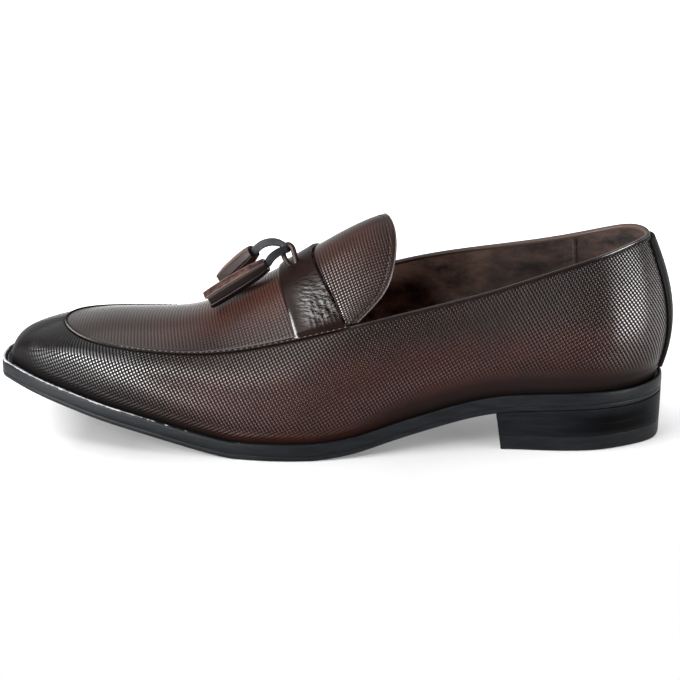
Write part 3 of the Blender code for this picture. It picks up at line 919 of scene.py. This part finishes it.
def build_floor():
    """Floor under the shoe."""
    mesh = bpy.data.meshes.new("floor")
    half = 1.5
    work = bmesh.new()
    bmesh.ops.create_grid(work, x_segments=2, y_segments=2, size=half)
    bmesh.ops.translate(work, verts=work.verts, vec=(0, FLOOR_FRONT + half, 0))
    work.to_mesh(mesh)
    work.free()
    mesh.materials.append(floor_finish())
    floor = bpy.data.objects.new("floor", mesh)
    bpy.context.scene.collection.objects.link(floor)


# Upper

def stud_places(across, up):
    """Angles whose waves make the columns and rows of the embossed grid."""
    return {"stud_column": across / COLUMN_PITCH * TURN, "stud_row": up / ROW_PITCH * TURN}


def side_studs(points, middle):
    """Embossed grid on the wall, leaning along both sides of the shoe."""
    plan = points[middle]
    step = np.linalg.norm(np.diff(plan[:, :2], axis=0, append=plan[:1, :2]), axis=-1)
    run = np.concatenate(([0], np.cumsum(step)))[:-1]
    toe = np.argmin(plan[:, 0])
    run -= run[toe]
    ahead = np.roll(plan, -1, axis=0) - np.roll(plan, 1, axis=0)
    ahead[:, 2] = 0
    ahead = unit(ahead)
    slip = np.sum((points - plan) * ahead, -1)
    up = lengths(points - slip[..., None] * ahead, 0)
    up += plan[:, 2] - up[middle]
    around_toe = run + slip
    bend = np.sqrt(around_toe**2 + TOE_BEND**2)
    size = math.sqrt(1 + SIDE_LEAN**2)
    across = (around_toe + SIDE_LEAN * (up - plan[toe, 2]) * around_toe / bend) / size
    rise = (up - SIDE_LEAN * (bend - TOE_BEND)) / size
    return stud_places(across, rise)


def from_middle(points):
    """Distance across a grid of points from its middle column."""
    run = lengths(points, 1)
    middle = run.shape[1] // 2
    return run - run[:, middle:middle + 1]


def side_tone(along, rise):
    """How brown the burnished leather is on the side wall."""
    tone = 0.3 * fade(60, 120, along)
    for row in SIDE_TONE:
        far = ((along - row.along) / row.long)**2 + ((rise - row.rise) / row.high)**2
        tone += row.amount * np.exp(-far)
    return np.clip(tone, 0, 1)


def side_values(points, normal, rise, below):
    """Embossing, tone and polish of the side wall; its distances are in millimetres."""
    studs = side_studs(points, len(points) // 2)
    up = lengths(points, 0) / MM
    along = points[..., 0] / MM
    back = fade(150, 205, along)
    toe_top = fade(0.4, 0.7, normal[..., 2]) * fade(75, 45, along)
    column_depth = fade(2 + 2 * back, 8 + 8 * back, up)
    row_depth = steps_at(ROW_DEPTH, points[..., 0]) * (1 - toe_top)
    streaks = 0.85 * fade(210, 150, along)
    row_depth = row_depth + (streaks - row_depth) * (1 - column_depth)
    from_toe = np.abs(studs["stud_column"]) / TURN * COLUMN_PITCH / MM
    emboss = fade(0.5 + 2.5 * back, 5 + 15 * back, up) * fade(0.8, 2.2, below / MM) * fade(2, 14, from_toe)
    emboss = emboss * (1 - 0.25 * fade(110, 170, along) * fade(292, 270, along)) * (1 - 0.15 * toe_top)
    dull_foot = fade(140, 90, along) * fade(17, 4, up)
    dull_heel = fade(240, 280, along) * fade(30, 12, up)
    dull_top = fade(0.6, 0.95, rise) * fade(80, 105, along) * fade(240, 200, along)
    dark_foot = np.maximum(0.6 * dull_foot, 0.7 * back * fade(14, 4, up))
    # Painted shade of the welt's channel: within 2.2 mm of the wall's foot the tone and polish fade to
    # nothing, leaving a dark line.
    clear = fade(0.8, 2.2, up)
    polish = steps_at(POLISH, points[..., 0]) * clear
    for amount, zone in ((0.85, dull_foot), (0.5, dull_heel), (0.4, toe_top), (0.3, dull_top)):
        polish = polish * (1 - amount * zone)
    tone = side_tone(along, rise) * (1 - dark_foot) * clear
    return {
        **studs, "column_depth": column_depth, "row_depth": row_depth,
        "emboss": emboss, "tone": tone, "polish": polish,
    }


def build_wall(leather, lining):
    """Vamp and quarters: the side of the upper all round, dipping into the welt's channel."""
    columns, rows = 440, 44
    low = -0.03
    climb = np.sin(np.linspace(0, 1, rows) * math.pi / 2)
    turn, rise = np.meshgrid(np.arange(columns) * TURN / columns, low + (1 - low) * climb)
    plain = wall(rise, turn)
    normal = normals(wall, rise, turn)
    below = lengths(plain[::-1], 0)[::-1]
    at_seam = fade(168 * MM, 160 * MM, along_at(TOP, turn))
    groove = -0.8 * MM * fade(1.2 * MM, 0, below)
    outer = plain + normal * (at_seam * groove)[..., None]
    inner = plain - normal * UPPER_WALL
    values = side_values(plain, normal, rise, below)
    piece = shell("upper_wall", outer, inner, [leather, lining], True, values)
    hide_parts("upper")


def apron_grid(rows, columns):
    """Places on the apron: along and across, from near the toe back to the join."""
    seam = along_at(TOP, np.linspace(math.pi, turn_at(TOP, JOIN), rows))
    start = along_at(TOP, math.pi)
    bow = JOIN_BOW * ((seam - start) / (JOIN - start))**1.5
    across, seam = np.meshgrid(np.sin(np.linspace(-1, 1, columns) * math.pi / 2), seam)
    along = seam - bow[:, None] * (1 - across**2)
    first_row = 2
    return along[first_row:], across[first_row:]


def build_apron(leather, lining):
    """Apron over the toes, its edge turned down into the seam."""
    along, across = apron_grid(190, 61)
    plain = instep(along, across)
    normal = normals(instep, along, across)
    edge = top_line(np.linspace(0, TURN, 1600))
    away = np.array([np.linalg.norm(row[:, None] - edge, axis=-1).min(1) for row in plain])
    roll = -0.9 * MM * fade(1.0 * MM, 0, away) + 0.1 * MM * bump_at(away, 1.6 * MM, 0.9 * MM)
    outer = plain + normal * roll[..., None]
    inner = plain - normal * UPPER_WALL
    spine = plain[:, plain.shape[1] // 2]
    down = np.broadcast_to(lengths(spine, 0)[:, None], across.shape)
    aside = np.abs(across)
    along = along / MM
    values = {
        **stud_places(down, from_middle(plain)),
        "column_depth": np.ones_like(along),
        "row_depth": 0.2 + 0.6 * fade(0.1, 0.5, aside) * fade(75, 110, along),
        "emboss": fade(0.8 * MM, 3 * MM, away) * (0.58 + 0.12 * fade(50, 120, along)),
        "tone": 0.2 + 0.7 * fade(45, 115, along) * fade(1.0, 0.6, aside),
        "polish": (1 - 0.7 * fade(60, 115, along)) * fade(0.4 * MM, 2.2 * MM, away),
    }
    piece = shell("apron", outer, inner, [leather, lining], False, values)
    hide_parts("upper")


def seam_line(front, back, steps):
    """Apron seam between two distances from the toe on both sides, and the way out of it."""
    turn = np.linspace(turn_at(TOP, back), turn_at(TOP, front), steps)
    turn = np.concatenate((turn, TURN - turn[::-1]))
    out = normals(wall, np.full_like(turn, 0.97), turn)
    line = top_line(turn)
    inner = fade(50 * MM, 80 * MM, line[:, 0]) * fade(0, 10 * MM, line[:, 1])
    line[:, 2] += SEAM_UP + INNER_SEAM_UP * inner
    return line + out * SEAM_OUT, unit(out + (0, 0, 0.8))


def build_seam_ridge(leather):
    """Rolled ridge along the apron seam."""
    steps = 260
    path, out = (np.delete(line, steps, axis=0) for line in seam_line(TOP[0].along * MM, 167 * MM, steps))
    section = rounded_box(2 * SEAM_RADIUS, 1.8 * SEAM_RADIUS, 3, 1.0)
    # Painted highlight on the ridge: pale at the front of the seam on the lateral side.
    ridge_painted_highlight = fade(55 * MM, 30 * MM, path[:, 0]) * fade(8 * MM, -6 * MM, path[:, 1])
    ridge_painted_highlight = np.repeat(ridge_painted_highlight[:, None], len(section), 1)
    swept("seam_ridge", path, out, section, leather, values={"ridge_painted_highlight": ridge_painted_highlight})


def build_seam_stitches(finish):
    """Stitches on the ridge of the apron seam, on both sides of the shoe."""
    path, out = seam_line(62 * MM, 166 * MM, 1600)
    stitches("apron_stitches", path + out * SEAM_RADIUS * 0.8, out, finish)


def build_collar(leather):
    """Binding folded over the topline."""
    limit = turn_at(TOP, 156 * MM)
    turn = np.linspace(-limit, limit, 420)
    edge = top_line(turn)
    out = normals(wall, np.full_like(turn, 0.99), turn)
    up = unit(edge - wall(np.full_like(turn, 0.97), turn))
    middle = edge - out * (UPPER_WALL / 2) + up * 0.05 * MM
    angle = np.linspace(0, 1, 15) * math.pi
    half, tall = UPPER_WALL / 2 + 0.2 * MM, 0.45 * MM
    legs = np.array(((-half, -1.0 * MM), (-half - 0.05 * MM, -0.5 * MM)))
    arch = np.stack((-half * np.cos(angle), tall * np.sin(angle)), -1)
    section = np.concatenate((legs, arch, -legs[::-1] * (1, -0.5)))
    inside = np.broadcast_to(fade(0.5, -0.2, section[:, 0] / half), (len(edge), len(section)))
    shine = fade(272 * MM, 286 * MM, edge[:, 0]) * fade(-4 * MM, -12 * MM, edge[:, 1])
    values = {"inside": inside, "shine": np.repeat(shine[:, None], len(section), 1)}
    full = 0.35 + 0.65 * fade(157 * MM, 170 * MM, edge[:, 0])
    section = section * full[:, None, None]
    rings = middle[:, None] + section[..., :1] * out[:, None] + section[..., 1:] * up[:, None]
    faces = tube_faces(*rings.shape[:2])
    add_piece("collar_binding", rings, faces, [leather], values=values)


def build_lining_seam(leather, thread_finish):
    """Join in the lining on the inner side of the heel, with a row of stitches."""
    rise = np.linspace(0.35, 0.975, 500)
    turn = np.full_like(rise, -turn_at(TOP, 269 * MM))
    inward = -normals(wall, rise, turn)
    path = wall(rise, turn) + inward * (UPPER_WALL + 0.05 * MM)
    section = rounded_box(2.2 * MM, 0.7 * MM, 3, 0.8)
    swept("lining_seam", path[::10], inward[::10], section, leather)
    stitches("lining_stitches", path + inward * 0.3 * MM, inward, thread_finish)


PatchGrid = namedtuple("PatchGrid", "points along across share from_front from_back")


def patch(name, front, back, reach, top, under, values, finishes, steps, rungs):
    """Piece of the arch over the foot between two edges; top and values are functions of its grid."""
    across, share = np.meshgrid(np.linspace(-reach, reach, rungs), np.linspace(0, 1, steps))
    along = front(across) + (back(across) - front(across)) * share
    plain = instep(along, across)
    run = lengths(plain, 0)
    grid = PatchGrid(plain, along, across, share, run, run[-1] - run)
    normal = normals(instep, along, across)
    outer = plain + normal * top(grid)[..., None]
    return shell(name, outer, plain + normal * under, finishes, False, values(grid))


def build_strap(leather, lining):
    """Saddle strap with rolled edges and folds where it bends to the seam."""
    def top(grid):
        to_edge = np.minimum(grid.from_front, grid.from_back)
        round_off = np.where(grid.from_front < grid.from_front[-1] / 2, 2.6 * MM, 0.5 * MM)
        roll = np.sqrt(np.clip(1 - (1 - np.clip(to_edge / round_off, 0, 1))**2, 0, 1))
        height = GAP + STRAP_THICK * (0.15 + 0.6 * roll)
        for fold in STRAP_FOLDS:
            place = fold.share + fold.slant * (grid.across - fold.start)
            reach = fade(fold.start - 0.03, fold.start + 0.05, grid.across)
            reach = reach * fade(fold.end + 0.05, fold.end - 0.05, grid.across)
            height = height + 0.65 * fold.height * MM * bump_at(grid.share, place, fold.width) * reach
        return height - 0.9 * MM * fade(0.955, 0.995, np.abs(grid.across))

    def values(grid):
        outer_side = fade(-0.42, -0.74, grid.across) * fade(-0.97, -0.88, grid.across)
        inner_side = fade(0.5, 0.7, grid.across)
        bend = outer_side * fade(0.14, 0.55, grid.share) + inner_side
        return {
            "crinkle": 0.1 + 0.9 * np.clip(bend, 0, 1),
            # Painted shadow on the last 0.4 mm of the strap's back edge.
            "strap_back_painted_shadow": fade(0.4 * MM, 0.1 * MM, grid.from_back),
            "edge_gloss": fade(2.2 * MM, 1.0 * MM, grid.from_front) * fade(0.7, 0.86, np.abs(grid.across)),
        }

    piece = patch(
        "saddle_strap", bowed(STRAP_FRONT, STRAP_FRONT_BOW), bowed(STRAP_BACK, STRAP_BACK_BOW),
        STRAP_REACH, top, GAP / 2, values, [leather, lining], 70, 161)
    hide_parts("strap")


def build_tongue_flap(leather, lining):
    """Flap behind the strap, pressed in beside its edge and under the strap's."""
    def top(grid):
        beside_edge = 0.3 * MM * bump_at(grid.from_back, 3.0 * MM, 0.5 * MM)
        behind = grid.along - bowed(STRAP_BACK, STRAP_BACK_BOW)(grid.across)
        beside_strap = 0.7 * MM * bump_at(behind, 0, 0.7 * MM)
        return -beside_edge - beside_strap - 0.9 * MM * fade(0.8 * MM, 0, grid.from_back)**2

    def values(grid):
        aside = np.abs(grid.across)
        down = 1.12 * (grid.along + JOIN_BOW * (1 - grid.across**2))
        return {
            **stud_places(down, from_middle(grid.points)),
            "column_depth": np.ones_like(grid.along),
            "row_depth": 0.5 + 0.4 * fade(0.2, 0.6, aside),
            "emboss": fade(1.0 * MM, 1.8 * MM, grid.from_back) * (0.45 + 0.55 * fade(0.1, 0.45, aside)),
            "tone": 0.25 + 0.4 * bump_at(grid.share, 0.45, 0.4) * fade(1.0, 0.5, aside),
            "polish": 0.3 + 0.7 * fade(0.3, 0.7, aside) * fade(0.8, 0.3, grid.share),
        }

    piece = patch(
        "tongue_flap", bowed(JOIN + GAP, JOIN_BOW), tongue_edge, TONGUE_REACH, top, -TONGUE_THICK,
        values, [leather, lining], 80, 121)
    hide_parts("tongue")


def build_tongue_edge(edging, thread_finish):
    """Folded edge of the tongue and the row of stitches beside it."""
    across = np.linspace(-TONGUE_REACH, TONGUE_REACH, 400)
    along = tongue_edge(across)
    up = normals(instep, along, across)
    rim = instep(along, across) - up * TONGUE_THICK / 2
    section = rounded_box(0.7 * MM, TONGUE_THICK + 0.1 * MM, 4, 0.75)
    swept("tongue_edge", rim, up, section, edging)
    row = instep(along - 2.55 * MM, across) - up * 0.1 * MM
    stitches("tongue_stitches", row, up, thread_finish)


def build_backstay(leather):
    """Narrow strip over the seam at the heel's back, with rounded edges."""
    share, rise = np.meshgrid(np.linspace(-1, 1, 21), np.linspace(BACKSTAY_FROM, BACKSTAY_TO, 90))
    turn = share * (BACKSTAY_FOOT_TURN + (BACKSTAY_TOP_TURN - BACKSTAY_FOOT_TURN) * rise)
    plain = wall(rise, turn)
    normal = normals(wall, rise, turn)
    roll = np.sqrt(1 - np.abs(share)**6)
    outer = plain + normal * (GAP + BACKSTAY_THICK * (0.3 + 0.7 * roll))[..., None]
    inner = plain + normal * 0.05 * MM
    piece = shell("heel_backstay", outer, inner, [leather])
    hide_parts("backstay")


# Sole

def sole_turns(front, steps):
    """Turns round the sole from one front corner over the heel's back to the other."""
    side = front * np.linspace(1, 0, steps + 1)
    return np.concatenate((side, -side[-2::-1]))


def slab_faces(layers, count):
    """Sides of a slab stored layer by layer, and its two faces in strips from side to side."""
    faces = grid_faces(layers, count, closed=True).tolist()
    last = (layers - 1) * count
    half = count // 2
    for i in range(half):
        strip = (i, i + 1, count - 2 - i, count - 1 - i)
        if i == half - 1:
            strip = strip[:2] + strip[3:]
        faces.append(strip[::-1])
        faces.append(tuple(last + k for k in strip))
    return faces


def plate(name, node, turn, layers, finish, values=None):
    """Slab with the sole's outline: layers of a height function of along, an inset and a front shift.

    The flanks move in with the front edge.
    """
    to_front = np.abs(turn) / turn[0]
    flank = FLANK_TAPER * fade(0.15, 0.5, to_front)
    points = []
    for height, inset, shift in layers:
        plan = sole_outline(turn, inset + shift * flank)
        plan[:, 0] += shift * to_front**BREAST_BLEND
        points.append(np.concatenate((plan, height(plan[:, 0])[:, None]), -1))
    faces = slab_faces(len(layers), len(turn))
    piece = add_piece(name, np.array(points), faces, [finish], values=values, sharp=60)
    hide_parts(node)


def lifted(base, amount):
    """Height function a fixed amount above another."""
    return lambda along: base(along) + amount


def level(height):
    """Height function of a flat plane."""
    return lambda along: np.full_like(along, height)


def build_outsole(finish):
    """Tread plate with a rounded lower edge."""
    profile = ((0.0, 1.2), (0.12, 0.6), (0.5, 0.15), (1.1, 0.0), (2.2, 0.0), (2.5, 0.15), (2.6, 0.5))
    layers = [(lifted(tread, height * MM), inset * MM, 0.0) for height, inset in profile]
    plate("outsole_plate", "outsole", sole_turns(TOE_EDGE, 200), layers, finish)


def build_welt(finish):
    """Welt with a rounded rim, painted pale along its top as a highlight, and a channel between the rim and
    the upper.
    """
    turn = sole_turns(TOE_EDGE, 240)
    room = upper_inset(turn)
    low, top = OUTSOLE_THICK / MM, SOLE_THICK / MM
    profile = table(
        "share height inset wear",
        (0.0, low, 0.55, 0.0), (0.0, low + 0.12, 0.2, 0.0), (0.0, low + 0.35, 0.0, 0.0),
        (0.0, low + 2.0, -0.12, 0.0), (0.0, top - 1.2, 0.0, 0.0), (0.0, top - 0.55, 0.1, 0.0),
        (0.06, top - 0.18, 0.1, 0.6), (0.14, top, 0.1, 1.0), (0.30, top + 0.05, 0.1, 0.5),
        (0.38, top - 0.12, 0.1, 0.0), (0.43, top - 0.6, 0.1, 0.0), (0.48, top - 0.95, 0.1, 0.0),
        (0.75, top - 1.0, 0.0, 0.0), (1.25, top - 1.0, 0.0, 0.0), (1.6, top - 0.6, 0.0, 0.0),
    )
    layers = [(lifted(tread, row.height * MM), room * row.share + row.inset * MM, 0.0) for row in profile]
    # Painted highlight along the rim's top, strongest round the toe.
    worn = column(profile, "wear")[:, None] * steps_at(RIM_GLINT_PAINT, along_at(SOLE, turn))
    plate("welt_rim", "welt", turn, layers, finish, {"rim_painted_highlight": worn})


def build_welt_stitches(finish):
    """Stitches in the channel of the welt, all round."""
    turn = np.linspace(0, TURN, 4000)
    plan = sole_outline(turn, upper_inset(turn) * 0.62)
    path = np.concatenate((plan, (tread(plan[:, 0]) + SOLE_THICK - 0.75 * MM)[:, None]), -1)
    stitches("welt_stitches", path, np.broadcast_to((0.0, 0.0, 1.0), path.shape), finish)


def build_insole(finish):
    """Footbed inside the upper, with rounded edges."""
    turn = sole_turns(TOE_EDGE, 120)
    margin = upper_inset(turn) + INSOLE_INSET
    thick = INSOLE_THICK / MM
    profile = ((0.0, 0.9), (0.9, 0.0), (thick - 0.9, 0.0), (thick - 0.25, 0.3), (thick, 0.95))
    seat = lifted(tread, SOLE_THICK + SEAT_GAP)
    layers = [(lifted(seat, height * MM), margin + inset * MM, 0.0) for height, inset in profile]
    plate("footbed", "insole", turn, layers, finish)


def build_heel(block_finish, lift_finish):
    """Heel block with a fine moulded line, and its top lift."""
    turn = sole_turns(turn_at(SOLE, BREAST_TOP), 90)
    tall = tread(np.array(BREAST_TOP))
    lip = 0.2 * MM
    groove = 0.12 * MM

    def layer(height, inset=0.0, shift=0.0):
        share = 1 - height / tall
        return level(height), HEEL_TAPER * share + inset, (BREAST_BOTTOM - BREAST_TOP) * share + shift

    block = [layer(TOP_LIFT_THICK + 0.02 * MM, lip)]
    block += [layer(TOP_LIFT_THICK + above * MM) for above in (0.2, 0.5, 0.9)]
    block += [layer(height * MM) for height in (13.2, 13.7, 13.95)]
    block += [layer(height * MM, groove) for height in (14.1, 14.3)]
    block += [layer(height * MM) for height in (14.45, 14.7, 15.2)]
    block += [(lifted(tread, -down * MM), 0.0, 0.0) for down in (0.9, 0.5, 0.2)]
    block.append((lifted(tread, -0.05 * MM), lip, 0.0))
    plate("heel_stack", "heel_block", turn, block, block_finish)
    rounding = ((0.0, 0.8), (0.2, 0.3), (0.6, 0.05), (1.0, 0.0), (1.6, 0.0))
    lift = [layer(height * MM, inset * MM, inset * MM) for height, inset in rounding]
    lift += [layer(TOP_LIFT_THICK - down * MM) for down in (0.9, 0.5, 0.2)]
    lift.append(layer(TOP_LIFT_THICK - 0.02 * MM, lip))
    plate("heel_lift", "heel_top_lift", turn, lift, lift_finish)


# Tassels

def build_tassel(name, leather, strips, twist):
    """Bundle of cut leather strips round a core."""
    head, tail = (np.array(end) * MM for end in TASSEL_ENDS[name])
    axis = unit(tail - head)
    wide = unit(np.cross(axis, (0, 1, 0)))
    deep = np.cross(axis, wide)
    steps = 26
    share = np.linspace(0, 1, steps)
    knots = column(TASSEL, "share")
    width, depth = (
        smooth_curve(knots, column(TASSEL, size), share) * MM / 2 for size in ("width", "depth"))
    points, faces, raw_edge_and_highlight, tone = [], [], [], []

    def add_strip(path, up, section, edge, painted_top_light):
        rings = swept_rings(path, np.broadcast_to(up, path.shape), section)
        faces.extend(tube_faces(*rings.shape[:2], first=sum(map(len, points))))
        points.append(rings.reshape(-1, 3))
        raw_edge_and_highlight.append(np.broadcast_to(edge, rings.shape[:2]).ravel())
        tone.append(np.full(len(points[-1]), painted_top_light))

    line = head + (tail - head) * share[:, None]
    angle = np.arange(16) * TURN / 16
    inner = 1 - STRIP_THICK / width.mean()
    core = np.stack((np.cos(angle) * width[:, None], np.sin(angle) * depth[:, None]), -1) * inner
    add_strip(line * 0.96 + (head * 0.3 + tail * 0.7) * 0.04, deep, core, 0.0, 0.0)
    flat = rounded_box(1.0, 1.0, 4, 0.42)
    edge = fade(0.40, 0.47, np.abs(flat[:, 0]))
    girth = np.pi * (width + depth) / strips * 0.97
    section = flat * np.stack((girth, np.full(steps, STRIP_THICK)), -1)[:, None]
    for i in range(strips):
        angle = (i + 0.5) * TURN / strips + twist
        out = np.cos(angle) * wide + np.sin(angle) * deep
        sway = RANDOM.normal(0, 0.12) * MM
        path = line + (width - STRIP_THICK / 2)[:, None] * np.cos(angle) * wide
        path = path + (depth - STRIP_THICK / 2)[:, None] * np.sin(angle) * deep
        path = path + (share**2)[:, None] * sway * out
        reach = 1 + RANDOM.uniform(-0.03, 0.012)
        path = head + (path - head) * np.linspace(1, reach, steps)[:, None]
        # Painted light: each strip's tone follows how far it faces up.
        add_strip(path, out, section, edge, fade(0.0, 0.8, out[2]))
    values = {"cut_edge_and_highlight": np.concatenate(raw_edge_and_highlight), "painted_top_light": np.concatenate(tone)}
    piece = add_piece(
        name + "_fringe", np.concatenate(points), faces, [leather], values=values)
    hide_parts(name)


def build_thong(finish):
    """Flat thong from one tassel to the other, through the keeper."""
    path = smooth_path((CORD_ENDS[0], *CORD_ROUTE, CORD_ENDS[1]), 70)
    up = np.broadcast_to((0.0, -0.95, 0.31), path.shape)
    run = np.linspace(0, 1, len(path))
    gathered = 1 - 0.45 * bump_at(run, 0.53, 0.12) - 0.3 * fade(0.42, 0.5, np.abs(run - 0.5))
    sizes = np.stack((gathered, np.ones(len(path))), -1)
    section = rounded_box(CORD_WIDTH, CORD_THICK, 5, 0.45) * sizes[:, None]
    piece = swept("tassel_thong", path, up, section, finish)
    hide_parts("tassel_cord")


def build_keeper(finish):
    """Leather loop on the strap that holds the thong."""
    path = smooth_path(KEEPER_ROUTE, 40)
    up = unit(np.cross(np.gradient(path, axis=0), (0, 1, 0)))
    section = rounded_box(KEEPER_WIDTH, KEEPER_THICK, 4, 0.85)
    piece = swept("keeper_loop", path, up, section, finish)
    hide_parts("tassel_keeper")


build_camera()
charcoal = smooth_leather(
    "thong_charcoal", (0.006, 0.0064, 0.0073), (0.014, 0.0147, 0.0165), 0.5, 500, 0.2, 0.14)
build_thong(charcoal)
build_lights()
build_room()
build_floor()

side_leather = embossed_leather(
    "embossed_side", (0.0036, 0.0031, 0.003), (0.0185, 0.006, 0.0044), 0.18 * MM, 0.05, 0.26)
apron_leather = embossed_leather(
    "embossed_apron", (0.01, 0.0072, 0.0066), (0.032, 0.0124, 0.009), 0.14 * MM, 0.85, 0.26)
lining_leather = lining_finish("lining", (0.009, 0.005, 0.004), (0.1, 0.06, 0.047))
binding = binding_leather(
    "collar_edge", (0.0036, 0.0025, 0.0023), (0.008, 0.005, 0.0044), (0.05, 0.032, 0.026))
pale_edge = smooth_leather("folded_edge", (0.016, 0.01, 0.008), (0.036, 0.022, 0.018), 0.35, 200, 0.1)
strap_leather = crinkled_leather("saddle_leather", (0.004, 0.002, 0.0016), (0.008, 0.0036, 0.003))
black_leather = smooth_leather(
    "backstay_black", (0.002, 0.002, 0.002), (0.0044, 0.004, 0.004), 0.5, 150, 0.1, 0.06)
seam_edge = seam_leather("seam_edge", (0.004, 0.0036, 0.0036), (0.12, 0.11, 0.104))
keeper_leather = smooth_leather(
    "keeper_brown", (0.008, 0.0036, 0.0028), (0.024, 0.0096, 0.0068), 0.42, 300, 0.1, 0.24)
insole_leather = smooth_leather("insole_brown", (0.06, 0.032, 0.022), (0.1, 0.056, 0.04), 0.5, 50, 0.15)
dark_thread = thread("seam_thread", (0.065, 0.059, 0.056))
black_thread = thread("tongue_thread", (0.016, 0.012, 0.012))
welt_thread = thread("welt_thread", (0.14, 0.14, 0.15))
sole_rubber = rubber("sole_rubber", (0.0031, 0.0035, 0.0042), (0.0064, 0.0071, 0.0086), 0.42, 0.1)
heel_rubber = rubber("heel_rubber", (0.0036, 0.004, 0.0049), (0.0064, 0.0073, 0.009), 0.4, 0.03, heel_painted_shade)
# One tassel leather in two copies: the near tassel's darker colours are painted shade, the far tassel's paler
# ones painted light on its upturned face.
near_fringe = fringe_leather(
    "tassel_shaded_copy", (0.004, 0.0018, 0.0014), (0.044, 0.017, 0.012), (0.06, 0.036, 0.03))
far_fringe = fringe_leather(
    "tassel_lit_copy", (0.009, 0.0045, 0.0035), (0.06, 0.026, 0.018), (0.06, 0.032, 0.025))

build_wall(side_leather, lining_leather)
build_apron(apron_leather, lining_leather)
build_seam_ridge(seam_edge)
build_seam_stitches(dark_thread)
build_collar(binding)
build_lining_seam(lining_leather, black_thread)
build_strap(strap_leather, lining_leather)
build_tongue_flap(apron_leather, lining_leather)
build_tongue_edge(pale_edge, black_thread)
build_backstay(black_leather)
build_outsole(sole_rubber)
build_welt(sole_rubber)
build_welt_stitches(welt_thread)
build_insole(insole_leather)
build_heel(heel_rubber, sole_rubber)
build_tassel("tassel_lateral", near_fringe, 7, 0.25)
build_tassel("tassel_medial", far_fringe, 6, 0.5)
build_keeper(keeper_leather)
